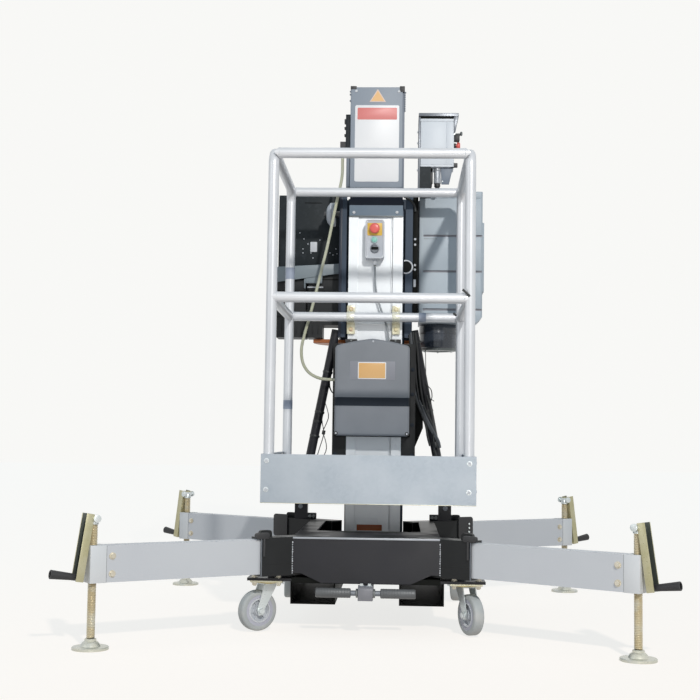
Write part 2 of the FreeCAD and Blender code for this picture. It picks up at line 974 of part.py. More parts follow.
def control_box():
    """Control box with an overhanging hood."""
    top = control_bottom + control_height
    body = box([control_left, control_front, control_bottom], [control_right, control_back, top])
    uprights = [e for e in body.Edges if e.BoundBox.ZLength > 1]
    hood = box(
        [control_left - hood_margin, control_front - hood_margin, top - hood_drop],
        [hood_right, control_back + hood_margin, top - hood_drop + hood_height],
    )
    return joined([body.makeFillet(control_round, uprights), hood])


def control_stand():
    """Plate and clamp that carry the control box on the rear top rail."""
    left, right = control_left, control_left + stand_width
    stem = box(
        [left, control_front, stand_bottom],
        [right, control_front + stand_thick, control_bottom - touch],
    )
    foot = box(
        [left, post_rear_y + tube_dia / 2 + touch, stand_foot_bottom],
        [right, control_front + 1, stand_foot_top],
    )
    return joined([stem, foot])


def braces():
    """Two struts from feet on the rear sockets to the outer mast."""
    parts = []
    face = mast_half_width + touch
    slope = to_socket.y / to_socket.x
    foot_y = socket_inner_y + (brace_foot_x - socket_inner_x) * slope - brace_foot_offset
    for side in (-1, 1):
        foot = V(side * brace_foot_x, foot_y, brace_foot_z)
        head = V(side * (mast_half_width + brace_stand_off), brace_y, brace_top_z)
        strut = tube(foot, head, brace_dia, brace_wall)
        x_low, x_high = sorted((side * face, side * jack_half_spacing))
        strut = strut.common(box([x_low, 0, base_top], [x_high, jack_half_spacing, mast_top]))
        centre = side * (brace_foot_x - brace_foot_shift)
        foot_box = box(
            [centre - brace_foot_width / 2, foot_y - brace_foot_depth / 2, base_top + touch],
            [centre + brace_foot_width / 2, foot_y + brace_foot_depth / 2, brace_foot_z + brace_foot_lap],
        )
        parts.append(joined([strut, foot_box]))
    return set_of(parts)


def power_cabinet():
    """Ribbed cover of the power pack on the mast's right side."""
    left = mast_half_width + cabinet_stand_off
    front, rear = cabinet_front, cabinet_rear
    top = cabinet_bottom + cabinet_height
    body = box([left, front, cabinet_bottom], [cabinet_right, rear, top])
    mount = box(
        [mast_half_width + touch, front + mount_inset, cabinet_bottom + mount_inset],
        [left + 1, rear - mount_inset, top - mount_inset],
    )
    corner = [
        (cabinet_right + 1, front - 1, cabinet_bottom - 1),
        (cabinet_right - cabinet_bevel, front - 1, cabinet_bottom - 1),
        (cabinet_right + 1, front - 1, cabinet_bottom + cabinet_bevel),
    ]
    bulge_bottom = cabinet_bottom + bulge_rise
    bulge = box(
        [bulge_left, front + bulge_inset, bulge_bottom],
        [bulge_right, rear - bulge_inset, bulge_bottom + bulge_height],
    )
    shells = []
    for shell in (body, bulge):
        corners = [e for e in shell.Edges if e.BoundBox.ZLength > 1 and e.BoundBox.XMin > bulge_left + 1]
        shells.append(shell.makeFillet(cabinet_round, corners))
    whole = joined(shells + [mount]).cut(plate(corner, rear - front + 2, V(0, 1, 0)))
    for rise in cabinet_groove_rises:
        z = cabinet_bottom + rise
        whole = whole.cut(
            box(
                [left + bulge_inset, front - 1, z],
                [bulge_right + 1, front + cabinet_groove_depth, z + cabinet_groove_height],
            )
        )
    return whole


def motor():
    """Motor that hangs below the cabinet, bevelled at its lower end."""
    radius = motor_dia / 2
    height = motor_height - touch
    profile = [(0, 0), (radius - motor_bevel, 0), (radius, motor_bevel), (radius, height), (0, height)]
    return turned(profile, (motor_x, motor_y, cabinet_bottom - motor_height))


def side_panel():
    """Black panel with a ledge and its slanted apron on the mast's left side."""
    back = panel_front + panel_thick
    right = -mast_half_width - touch
    ledge_top = panel_bottom + ledge_thick
    sheet = box([panel_left, panel_front, panel_bottom], [panel_right, back, panel_bottom + panel_height])
    ledge = box([panel_left, ledge_front + 1, panel_bottom], [right, back, ledge_top])
    outline = [
        (panel_left, ledge_front, panel_bottom - apron_drop),
        (right, ledge_front, panel_bottom),
        (right, ledge_front, ledge_top + apron_rise),
        (panel_left, ledge_front, ledge_top),
    ]
    return joined([sheet, ledge, plate(outline, apron_thick, V(0, 1, 0))])


def battery_unit():
    """Two dark blocks below the ledge, the inner one notched beside the mast."""
    right_end = -mast_half_width - touch
    spans = [
        (battery_left, battery_split - battery_split_gap / 2),
        (battery_split + battery_split_gap / 2, right_end),
    ]
    back = panel_front + panel_thick
    low = panel_bottom - battery_height
    notch = box([notch_left, battery_front - 1, low - 1], [right_end + 1, back + 1, low + notch_height])
    blocks = []
    for left, right in spans:
        block = box([left, battery_front, low], [right, back, panel_bottom - touch])
        uprights = [e for e in block.Edges if e.BoundBox.ZLength > 1]
        blocks.append(block.makeFillet(battery_round, uprights).cut(notch))
    return set_of(blocks)


def drip_dish():
    """Shallow half-round tray on the mast's back, below the side units."""
    x, z, radius, depth = dish_x, dish_bottom, dish_radius, dish_depth
    centre_y = mast_back + dish_lap
    inner = radius - dish_wall
    tray = Part.makeCylinder(radius, depth, V(x, centre_y, z))
    tray = tray.cut(Part.makeCylinder(inner, depth, V(x, centre_y, z + dish_wall)))
    keep = box(
        [x - radius - 1, mast_back + touch, z - 1],
        [x + radius + 1, centre_y + radius + 1, z + depth + 1],
    )
    wall = box(
        [x - inner, mast_back + touch, z],
        [x + inner, mast_back + dish_wall, z + depth],
    )
    return joined([tray.common(keep), wall])


def loading_axle():
    """Stub axle of the loading wheel, on the mast's left wall."""
    y, z = loading_wheel_y, loading_wheel_z
    face = -mast_half_width - touch
    wheel_start = -mast_half_width - loading_wheel_inner + slide_gap
    wheel_end = -mast_half_width - loading_wheel_outer - slide_gap
    cap_end = wheel_end - loading_cap_thick
    stub = rod((face, y, z), (wheel_end - 1, y, z), loading_axle_dia)
    collar = rod((face, y, z), (wheel_start, y, z), loading_collar_dia)
    cap = rod((wheel_end, y, z), (cap_end, y, z), loading_cap_dia)
    return joined([stub, collar, cap])


def loading_wheel():
    """Roller beside the mast, tapered on its outer side."""
    bore = loading_axle_dia / 2 + pin_gap
    radius = loading_wheel_dia / 2
    profile = [
        (bore, loading_wheel_inner),
        (radius, loading_wheel_inner),
        (radius, loading_wheel_rim),
        (radius - loading_wheel_taper, loading_wheel_outer - 4),
        (loading_nose_dia / 2, loading_wheel_outer),
        (bore, loading_wheel_outer),
    ]
    wheel = turned(profile, (0, 0, 0))
    wheel.rotate(V(0, 0, 0), V(0, 1, 0), -90)
    wheel.translate(V(-mast_half_width, loading_wheel_y, loading_wheel_z))
    return wheel


def free_cord(points, dia, name):
    """A cord's tube: straight runs joined by tangent arcs."""
    pts = [V(*p) for p in points]
    edges = []
    radii = []
    start = pts[0]
    for i in range(1, len(pts) - 1):
        back = pts[i - 1] - pts[i]
        ahead = pts[i + 1] - pts[i]
        turn = math.pi - back.getAngle(ahead)
        if turn < 0.002:
            continue
        cut = 0.45 * min(back.Length, ahead.Length)
        radius = cut / math.tan(turn / 2)
        u = V(back).normalize()
        w = V(ahead).normalize()
        a = pts[i] + u * cut
        b = pts[i] + w * cut
        centre = pts[i] + (u + w).normalize() * (radius / math.cos(turn / 2))
        middle = centre + (pts[i] - centre).normalize() * radius
        edges += [Part.makeLine(start, a), Part.Arc(a, middle, b).toShape()]
        radii.append(radius)
        start = b
    edges.append(Part.makeLine(start, pts[-1]))
    path = Part.Wire(edges)
    ring = Part.Wire(Part.makeCircle(dia / 2, pts[0], pts[1] - pts[0]))
    solid = path.makePipe(Part.Face(ring))
    share = solid.Volume / (math.pi * dia * dia / 4 * path.Length)
    print(name, "length", round(path.Length), "volume share", round(share, 4), "tightest", round(min(radii)))
    return solid


# Route points of the two cords, x y z
CONDUIT = [
    (-128, 398, 1630),
    (-128, 398, 1600),
    (-127, 388, 1567),
    (-128, 372, 1533),
    (-134, 357, 1494),
    (-145, 351, 1442),
    (-157, 350, 1378),
    (-168, 350, 1318),
    (-181, 350, 1256),
    (-196, 350, 1194),
    (-210, 350, 1130),
    (-225, 350, 1066),
    (-241, 350, 1004),
    (-256, 350, 950),
    (-267, 349, 900),
    (-262, 347, 850),
    (-238, 344, 812),
    (-200, 340, 793),
    (-166, 333, 789),
    (cover_left - touch, 333, 789),
]
PENDANT_CORD = [
    (-2, 344, pendant_bottom - touch),
    (-2, 344, 1194),
    (-1, 346, 1156),
    (2, 347, 1118),
    (11, 347, 1078),
    (24, 347, 1040),
    (38, 346, 1003),
    (48, 345, 966),
    (pendant_cord_end, 345, arch_height(pendant_cord_end) + touch),
]


def build():
    """Makes every piece, by node name."""
    parts = {
        "base_top_plate": base_top_plate(),
        "base_front_panel": base_front_panel(),
        "base_frame": base_frame(),
        "outrigger_sockets": set_of([mirrored(beam_socket(), sx, sy) for n, sx, sy, t in CORNERS]),
        "socket_locks": set_of([mirrored(socket_lock(), sx, sy) for n, sx, sy, t in CORNERS]),
        "caster_brackets": set_of([mirrored(caster_bracket(), sx, sy) for n, sx, sy, t in CORNERS]),
        "caster_top_plates": set_of([mirrored(caster_top(), sx, sy) for n, sx, sy, t in CORNERS]),
        "fork_pockets": fork_pockets(),
        "mast_foot": mast_foot(),
        "drawbar_guide": drawbar_guide(),
        "drawbar": drawbar(),
        "braces": braces(),
        "power_cabinet": power_cabinet(),
        "motor": motor(),
        "side_panel": side_panel(),
        "battery_unit": battery_unit(),
        "drip_dish": drip_dish(),
        "loading_axle": loading_axle(),
        "loading_wheel": loading_wheel(),
        "carriage_profile": carriage_profile(),
        "carriage_plates": carriage_plates(),
        "carriage_cap": carriage_cap(),
        "housing_spine": housing_spine(),
        "label_housing": label_housing(),
        "toe_boards": toe_boards(),
        "platform_floor": platform_floor(),
        "platform_bearers": platform_bearers(),
        "rail_clamps": rail_clamps(),
        "cover_box": cover_box(),
        "pendant_box": pendant_box(),
        "control_box": control_box(),
        "control_stand": control_stand(),
        "conduit_gland": conduit_gland(),
        "conduit": free_cord(CONDUIT, conduit_dia, "conduit"),
        "pendant_cord": free_cord(PENDANT_CORD, pendant_cord_dia, "pendant_cord"),
    }
    parts.update(mast_sections())
    hoops = basket_hoops()
    parts["basket_hoops"] = set_of(hoops)
    parts["basket_rails"] = basket_rails(hoops)
    for name, sx, sy, trail in CORNERS:
        parts["outrigger_beam_" + name] = mirrored(beam(), sx, sy)
        parts["jack_" + name] = mirrored(jack(), sx, sy)
        parts["caster_fork_" + name] = at_caster(caster_fork(), sx, sy, trail)
        parts["caster_wheel_" + name] = at_caster(caster_wheel(), sx, sy, trail)
    return parts


os.makedirs("parts", exist_ok=True)
for node, shape in build().items():
    shape.exportStep("parts/" + node + ".step")
    print(node, len(shape.Solids), round(shape.Volume / 1000), shape.isValid())
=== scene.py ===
import math
import bpy
from mathutils import Matrix, Vector


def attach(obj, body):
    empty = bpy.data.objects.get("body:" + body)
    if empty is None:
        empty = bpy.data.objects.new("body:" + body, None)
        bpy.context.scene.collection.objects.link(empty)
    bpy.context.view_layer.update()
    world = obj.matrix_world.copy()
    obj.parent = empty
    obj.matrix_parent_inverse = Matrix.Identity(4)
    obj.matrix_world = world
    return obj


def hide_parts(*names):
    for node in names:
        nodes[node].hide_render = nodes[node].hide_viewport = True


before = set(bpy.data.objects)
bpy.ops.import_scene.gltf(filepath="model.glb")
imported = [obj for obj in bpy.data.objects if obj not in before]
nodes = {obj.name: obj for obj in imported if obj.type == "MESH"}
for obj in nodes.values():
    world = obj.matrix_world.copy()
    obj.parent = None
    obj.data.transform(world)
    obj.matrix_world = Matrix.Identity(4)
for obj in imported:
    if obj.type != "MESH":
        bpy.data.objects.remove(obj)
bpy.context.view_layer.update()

corners = {"fl": (-1, -1), "fr": (1, -1), "rl": (-1, 1), "rr": (1, 1)}

# Camera and light

print("stage: camera, light and floor")

view = {
    "place": (0.098, -4.058, 0.581),
    "turn": (94.110, -0.783, 2.369),     # degrees, fitted to the photograph
    "lens": 62.74,
    "sky": 0.30,                         # what the world gives the object
    "skyTint": (0.64, 0.90, 1.14),
    "paper": (0.94, 0.94, 0.922),        # near white behind it
    "floorTone": (0.36, 0.295, 0.25),
    "floorLift": 0.65,                   # glow that only the camera and reflections see
    "floorGlow": 0.27,                   # glow that also lights the object
    "keyPlace": (1.45, -5.6, 3.8),
    "keyShare": 30.0,                    # how much the floor's glow gives way near the key lamp
    "keyMost": 0.0052,
}

camData = bpy.data.cameras.new("viewCamera")
camData.lens = view["lens"]
camData.sensor_width = 36
camData.clip_end = 60
cam = bpy.data.objects.new("viewCamera", camData)
cam.location = view["place"]
cam.rotation_euler = [math.radians(a) for a in view["turn"]]
bpy.context.scene.collection.objects.link(cam)
bpy.context.scene.camera = cam
bpy.context.scene.view_settings.view_transform = "Standard"


def addNode(tree, kind, feeds, **settings):
    # a shader node whose inputs are fed by sockets or set to plain values
    node = tree.nodes.new("ShaderNode" + kind)
    for label, value in settings.items():
        setattr(node, label, value)
    for label, value in feeds.items():
        if hasattr(value, "links"):
            tree.links.new(value, node.inputs[label])
        else:
            node.inputs[label].default_value = value
    return node


def addMath(tree, operation, *feeds):
    return addNode(tree, "Math", dict(enumerate(feeds)), operation=operation).outputs[0]


def brightRays(tree):
    # 1 for camera, glossy and transmission rays, 0 for the rays that light the object
    rays = addNode(tree, "LightPath", {}).outputs
    straight = addMath(tree, "MAXIMUM", rays["Is Camera Ray"], rays["Is Glossy Ray"])
    return addMath(tree, "MAXIMUM", straight, rays["Is Transmission Ray"])


def makeWorld():
    world = bpy.data.worlds.new("softDay")
    bpy.context.scene.world = world
    world.use_nodes = True
    tree = world.node_tree
    tree.nodes.clear()
    lit = addNode(tree, "Background", {"Color": (*view["skyTint"], 1), "Strength": view["sky"]})
    seen = addNode(tree, "Background", {"Color": (*view["paper"], 1), "Strength": 1.0})
    mix = addNode(tree, "MixShader", {0: brightRays(tree), 1: lit.outputs[0], 2: seen.outputs[0]})
    addNode(tree, "OutputWorld", {"Surface": mix.outputs[0]})


def makeFloor():
    bpy.ops.object.select_all(action="DESELECT")
    bpy.ops.mesh.primitive_plane_add(size=40, location=(0, 0, -0.0005))
    floor = bpy.context.object
    floor.name = "studioFloor"
    mat = bpy.data.materials.new("paleFloor")
    mat.use_nodes = True
    tree = mat.node_tree
    shader = tree.nodes["Principled BSDF"]
    shader.inputs["Base Color"].default_value = (*view["floorTone"], 1)
    shader.inputs["Roughness"].default_value = 1.0
    shader.inputs["Specular IOR Level"].default_value = 0.0
    # the glow is weaker where the key lamp is near, so the floor looks as pale everywhere
    place = addNode(tree, "TexCoord", {}).outputs["Object"]
    reach = addNode(tree, "VectorMath", {0: place, 1: view["keyPlace"]},
        operation="DISTANCE").outputs["Value"]
    share = addMath(tree, "MINIMUM", addMath(tree, "POWER", reach, -3.0), view["keyMost"])
    lift = addMath(tree, "MULTIPLY_ADD", share, -view["keyShare"], view["floorLift"])
    amount = addMath(tree, "MULTIPLY_ADD", brightRays(tree), lift, view["floorGlow"])
    glow = addNode(tree, "Emission", {"Color": (*view["paper"], 1), "Strength": amount})
    both = addNode(tree, "AddShader", {0: shader.outputs[0], 1: glow.outputs[0]})
    tree.links.new(both.outputs[0], tree.nodes["Material Output"].inputs["Surface"])
    floor.data.materials.append(mat)


def softLamp(name, place, target, width, power, tint):
    lampData = bpy.data.lights.new(name, "AREA")
    lampData.shape = "SQUARE"
    lampData.size = width
    lampData.energy = power
    lampData.color = tint
    lamp = bpy.data.objects.new(name, lampData)
    lamp.location = place
    lamp.visible_camera = False
    aim = Vector(target) - Vector(place)
    lamp.rotation_euler = aim.to_track_quat("-Z", "Y").to_euler()
    bpy.context.scene.collection.objects.link(lamp)


makeWorld()
makeFloor()
softLamp("keyLamp", view["keyPlace"], (0, 0, 0.9), 0.24, 218, (1.0, 0.985, 0.955))
softLamp("fillLamp", (-3.6, -2.6, 2.2), (0, 0, 0.9), 2.6, 16, (0.95, 0.975, 1.0))
softLamp("lowLamp", (0.2, -3.4, 0.27), (0, 0.2, 0.25), 0.5, 6.5, (1.0, 0.99, 0.97))

# Modelling helpers: each wraps one or two operators that this part needs again and again


def onlyPick(piece):
    bpy.ops.object.select_all(action="DESELECT")
    piece.select_set(True)
    bpy.context.view_layer.objects.active = piece


def settled(name):
    # names the new piece and puts its place in its mesh
    piece = bpy.context.object
    piece.name = name
    bpy.ops.object.transform_apply(location=True, rotation=True, scale=True)
    return piece


def addBlock(name, low, high):
    # low and high are two opposite corners, in any order
    low, high = (Vector(map(pick, low, high)) for pick in (min, max))
    bpy.ops.object.select_all(action="DESELECT")
    bpy.ops.mesh.primitive_cube_add(size=1, location=(low + high) / 2)
    bpy.context.object.scale = high - low
    return settled(name)


def addRod(name, start, end, radius, sides=28):
    bpy.ops.object.select_all(action="DESELECT")
    start, end = Vector(start), Vector(end)
    along = end - start
    bpy.ops.mesh.primitive_cylinder_add(vertices=sides, radius=radius, depth=along.length,
        location=(start + end) / 2, rotation=along.to_track_quat("Z", "Y").to_euler())
    return settled(name)


def addRing(name, centre, axis, radius, thick, sides=32, around=10):
    bpy.ops.object.select_all(action="DESELECT")
    bpy.ops.mesh.primitive_torus_add(location=centre,
        rotation=Vector(axis).to_track_quat("Z", "Y").to_euler(), major_radius=radius,
        minor_radius=thick, major_segments=sides, minor_segments=around)
    return settled(name)


def pickFaces(piece, test):
    mesh = piece.data
    mesh.vertices.foreach_set("select", [False] * len(mesh.vertices))
    mesh.edges.foreach_set("select", [False] * len(mesh.edges))
    mesh.polygons.foreach_set("select", [bool(test(f.center, f.normal)) for f in mesh.polygons])


def editFaces(piece, test):
    # opens edit mode with just the faces that pass the test
    onlyPick(piece)
    pickFaces(piece, test)
    bpy.context.tool_settings.mesh_select_mode = (False, False, True)
    bpy.ops.object.mode_set(mode="EDIT")


def closeEdit():
    bpy.ops.object.mode_set(mode="OBJECT")


def stepFaces(piece, test, steps):
    # each step insets the picked faces, then moves them along a direction
    editFaces(piece, test)
    for inset, move in steps:
        if inset:
            bpy.ops.mesh.inset(thickness=inset, use_even_offset=True)
        if Vector(move).length > 0:
            if inset:
                bpy.ops.transform.translate(value=move)
            else:
                bpy.ops.mesh.extrude_region_move(TRANSFORM_OT_translate={"value": move})
    closeEdit()


def facing(direction, share=0.9):
    way = Vector(direction).normalized()
    return lambda centre, normal: normal.dot(way) > share


facesFront = facing((0, -1, 0), 0.99)
facesBack = facing((0, 1, 0), 0.99)
facesTop = facing((0, 0, 1), 0.99)
facesUnder = facing((0, 0, -1), 0.99)
facesRight = facing((1, 0, 0), 0.99)
facesLeft = facing((-1, 0, 0), 0.99)


def slideFaces(piece, test, move):
    # moves the picked faces as they are
    editFaces(piece, test)
    bpy.ops.transform.translate(value=move)
    closeEdit()


def sizeFaces(piece, test, factors, centre):
    # scales the picked faces about a point
    editFaces(piece, test)
    bpy.ops.transform.resize(value=factors, center_override=centre)
    closeEdit()


def roundAlong(piece, axis, width, segments=4, test=None):
    # rounds the edges that run along an axis
    onlyPick(piece)
    mesh = piece.data
    flags = []
    for edge in mesh.edges:
        a, b = (mesh.vertices[i].co for i in edge.vertices)
        along = abs((b - a).normalized().dot(Vector(axis))) > 0.99
        flags.append(along and (not test or test((a + b) / 2)))
    pickFaces(piece, lambda centre, normal: False)
    mesh.edges.foreach_set("select", flags)
    bpy.context.tool_settings.mesh_select_mode = (False, True, False)
    bpy.ops.object.mode_set(mode="EDIT")
    bpy.ops.mesh.bevel(offset=width, offset_type="OFFSET", segments=segments, affect="EDGES")
    closeEdit()
    return piece


def cutAcross(piece, place, axis, drop=False):
    # cuts new edges where a plane meets the piece, and drops what lies behind the plane
    onlyPick(piece)
    bpy.ops.object.mode_set(mode="EDIT")
    bpy.ops.mesh.select_all(action="SELECT")
    bpy.ops.mesh.bisect(plane_co=place, plane_no=axis, clear_inner=drop, use_fill=drop)
    closeEdit()
    return piece


def change(piece, kind, **settings):
    # adds a modifier and applies it
    step = piece.modifiers.new(kind.lower(), kind)
    for label, value in settings.items():
        setattr(step, label, value)
    onlyPick(piece)
    bpy.ops.object.modifier_apply(modifier=step.name)
    return piece


def cutOut(piece, tool, how="DIFFERENCE"):
    # takes the tool's shape out of the piece, or adds it, and removes the tool
    change(piece, "BOOLEAN", operation=how, object=tool)
    discard(tool)


def softBlock(name, low, high, edge, axis=None, corner=0.0):
    # a block with rounded corners along one axis and softened edges
    piece = addBlock(name, low, high)
    if axis:
        roundAlong(piece, axis, corner, 5)
    return roundEdges(piece, edge)


def painted(piece, name):
    piece.data.materials.clear()
    piece.data.materials.append(finish[name])
    return piece


kept = []      # the painted pieces of the whole that is being made


def keep(name, piece):
    kept.append(painted(piece, name))


def frontPlate(name, area, front, out, into, edge, corner=None):
    # thin plate on a face that looks forward: area is left, right, bottom and top
    left, right, low, high = area
    return softBlock(name, (left, front - out, low), (right, front + into, high), edge,
        (0, 1, 0) if corner else None, corner)


def domeScrew(place, axis, radius, height, name="screwHead"):
    # round head with a soft face and a socket sunk into it
    way = Vector(axis).normalized()
    head = addRod(name, Vector(place) - way * 0.0005, Vector(place) + way * height * 0.6, radius, 18)
    top = facing(way, 0.99)
    stepFaces(head, top, [(radius * 0.18, way * height * 0.28), (radius * 0.22, way * height * 0.12),
        (radius * 0.18, way * 0), (radius * 0.02, way * -height * 0.5)])
    return head


def roundEdges(piece, width, segments=2, angle=40):
    return change(piece, "BEVEL", width=width, segments=segments, limit_method="ANGLE",
        angle_limit=math.radians(angle))


def joinPieces(pieces, name):
    bpy.ops.object.select_all(action="DESELECT")
    for piece in pieces:
        piece.select_set(True)
    bpy.context.view_layer.objects.active = pieces[0]
    if len(pieces) > 1:
        bpy.ops.object.join()
    pieces[0].name = name
    return pieces[0]


def joinKept(name):
    whole = joinPieces(kept, name)
    kept.clear()
    return whole


def copyPiece(piece, name, matrix):
    twin = piece.copy()
    twin.data = piece.data.copy()
    twin.name = name
    bpy.context.scene.collection.objects.link(twin)
    twin.data.transform(matrix)
    if matrix.determinant() < 0:
        twin.data.flip_normals()
    return twin


def discard(piece):
    bpy.data.objects.remove(piece)


def dress(piece, body, node=None, smooth=30):
    # a finished piece: smooth faces, the body that it rides on and the node it stands for
    onlyPick(piece)
    bpy.ops.object.shade_smooth_by_angle(angle=math.radians(smooth))
    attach(piece, body)
    if node:
        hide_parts(node)


def paintFaces(piece, name, test):
    # gives the faces that pass the test their own finish
    piece.data.materials.append(finish[name])
    index = len(piece.data.materials) - 1
    for face in piece.data.polygons:
        if test(face.center, face.normal):
            face.material_index = index


# Shared shader groups

print("stage: finishes")


def newGroup(name, ins, result):
    group = bpy.data.node_groups.new(name, "ShaderNodeTree")
    for label, kind, value in ins:
        socket = group.interface.new_socket(name=label, in_out="INPUT", socket_type=kind)
        if value is not None:
            socket.default_value = value
    group.interface.new_socket(name=result, in_out="OUTPUT", socket_type="NodeSocketFloat")
    start = group.nodes.new("NodeGroupInput").outputs
    return group, start, group.nodes.new("NodeGroupOutput").inputs[result]


def makePatchGroup():
    # soft patches: where the noise is between Low and High the mask climbs from 0 to 1
    group, start, end = newGroup("softPatches", [("Vector", "NodeSocketVector", None), ("Scale",
        "NodeSocketFloat", 6.0), ("Detail", "NodeSocketFloat", 4.0), ("Low", "NodeSocketFloat", 0.45),
        ("High", "NodeSocketFloat", 0.65)], "Mask")
    noise = addNode(group, "TexNoise", {label: start[label] for label in ("Vector", "Scale", "Detail")})
    spread = addNode(group, "MapRange", {"Value": noise.outputs[0], "From Min": start["Low"],
        "From Max": start["High"]})
    group.links.new(spread.outputs[0], end)
    return group


def makeGrainGroup():
    # fine grain, stretched along an axis where Stretch is small
    group, start, end = newGroup("fineGrain", [("Vector", "NodeSocketVector", None), ("Scale",
        "NodeSocketFloat", 300.0), ("Stretch", "NodeSocketVector", (1.0, 1.0, 1.0))], "Height")
    drawn = addNode(group, "VectorMath", {0: start["Vector"], 1: start["Stretch"]},
        operation="MULTIPLY")
    noise = addNode(group, "TexNoise", {"Vector": drawn.outputs[0], "Scale": start["Scale"],
        "Detail": 3.0})
    group.links.new(noise.outputs[0], end)
    return group


def makeDustGroup():
    # dust lies on what faces up, thicker in patches
    group, start, end = newGroup("settledDust", [("Vector", "NodeSocketVector", None), ("Amount",
        "NodeSocketFloat", 0.3)], "Mask")
    normal = addNode(group, "NewGeometry", {}).outputs["Normal"]
    upward = addNode(group, "MapRange",
        {"Value": addNode(group, "SeparateXYZ", {0: normal}).outputs["Z"], "From Min": 0.5,
        "From Max": 1.0})
    noise = addNode(group, "TexNoise", {"Vector": start["Vector"], "Scale": 14.0, "Detail": 5.0})
    product = addMath(group, "MULTIPLY", upward.outputs[0], noise.outputs[0])
    group.links.new(addMath(group, "MULTIPLY", product, start["Amount"]), end)
    return group


patchGroup = makePatchGroup()
grainGroup = makeGrainGroup()
dustGroup = makeDustGroup()


def placeGroup(tree, group, coords, values):
    # the group's one output, with its own values
    node = tree.nodes.new("ShaderNodeGroup")
    node.node_tree = group
    tree.links.new(coords, node.inputs["Vector"])
    for label, value in values.items():
        node.inputs[label].default_value = value
    return node.outputs[0]


def mixColor(tree, mask, first, second):
    # first and second are sockets or plain colours
    first, second = (value if hasattr(value, "links") else (*value, 1) for value in (first, second))
    return addNode(tree, "Mix", {0: mask, 6: first, 7: second}, data_type="RGBA").outputs[2]


def newMaterial(name, color):
    mat = bpy.data.materials.new(name)
    mat.use_nodes = True
    mat.diffuse_color = (*color, 1)
    return mat, mat.node_tree, mat.node_tree.nodes["Principled BSDF"].inputs


dustTint = (0.42, 0.40, 0.37)
usual = {"patchScale": 7.0, "third": None, "thirdScale": 22.0, "spangle": 0.0, "dust": 0.12,
         "grainScale": 400.0, "stretch": (1, 1, 1), "roughByPatch": False, "bump": 0.1,
         "bumpDepth": 0.0004,
         "metal": 0.0, "specular": 0.5, "coat": 0.0, "coatRough": 0.08}


def makeFinish(name, color, second, rough, **special):
    # colour in soft patches under dust, roughness and bump by fine grain
    look = {**usual, **special}
    mat, tree, shader = newMaterial(name, color)
    coords = addNode(tree, "TexCoord", {}).outputs["Object"]
    patches = placeGroup(tree, patchGroup, coords,
        {"Scale": look["patchScale"], "Detail": 5.0, "Low": 0.38, "High": 0.68})
    blend = mixColor(tree, patches, color, second)
    if look["third"]:
        tinted = placeGroup(tree, patchGroup, coords,
            {"Scale": look["thirdScale"], "Detail": 3.0, "Low": 0.5, "High": 0.72})
        blend = mixColor(tree, tinted, blend, look["third"])
    if look["spangle"]:
        cells = addNode(tree, "TexVoronoi", {"Vector": coords, "Scale": look["spangle"]})
        shade = addNode(tree, "SeparateColor", {0: cells.outputs["Color"]})
        spread = addNode(tree, "MapRange", {"Value": shade.outputs[0], "To Max": 0.35})
        blend = mixColor(tree, spread.outputs[0], blend, look["spangleTint"])
    dust = placeGroup(tree, dustGroup, coords, {"Amount": look["dust"]})
    tree.links.new(mixColor(tree, dust, blend, dustTint), shader["Base Color"])
    grain = placeGroup(tree, grainGroup, coords,
        {"Scale": look["grainScale"], "Stretch": look["stretch"]})
    gloss = addNode(tree, "MapRange", {"Value": patches if look["roughByPatch"] else grain,
        "From Min": 0.25, "From Max": 0.75, "To Min": rough[0], "To Max": rough[1]})
    tree.links.new(gloss.outputs[0], shader["Roughness"])
    bump = addNode(tree, "Bump", {"Strength": look["bump"], "Distance": look["bumpDepth"],
        "Height": grain})
    tree.links.new(bump.outputs[0], shader["Normal"])
    shader["Metallic"].default_value = look["metal"]
    shader["Specular IOR Level"].default_value = look["specular"]
    if look["coat"]:
        shader["Coat Weight"].default_value = look["coat"]
        shader["Coat Roughness"].default_value = look["coatRough"]
    return mat


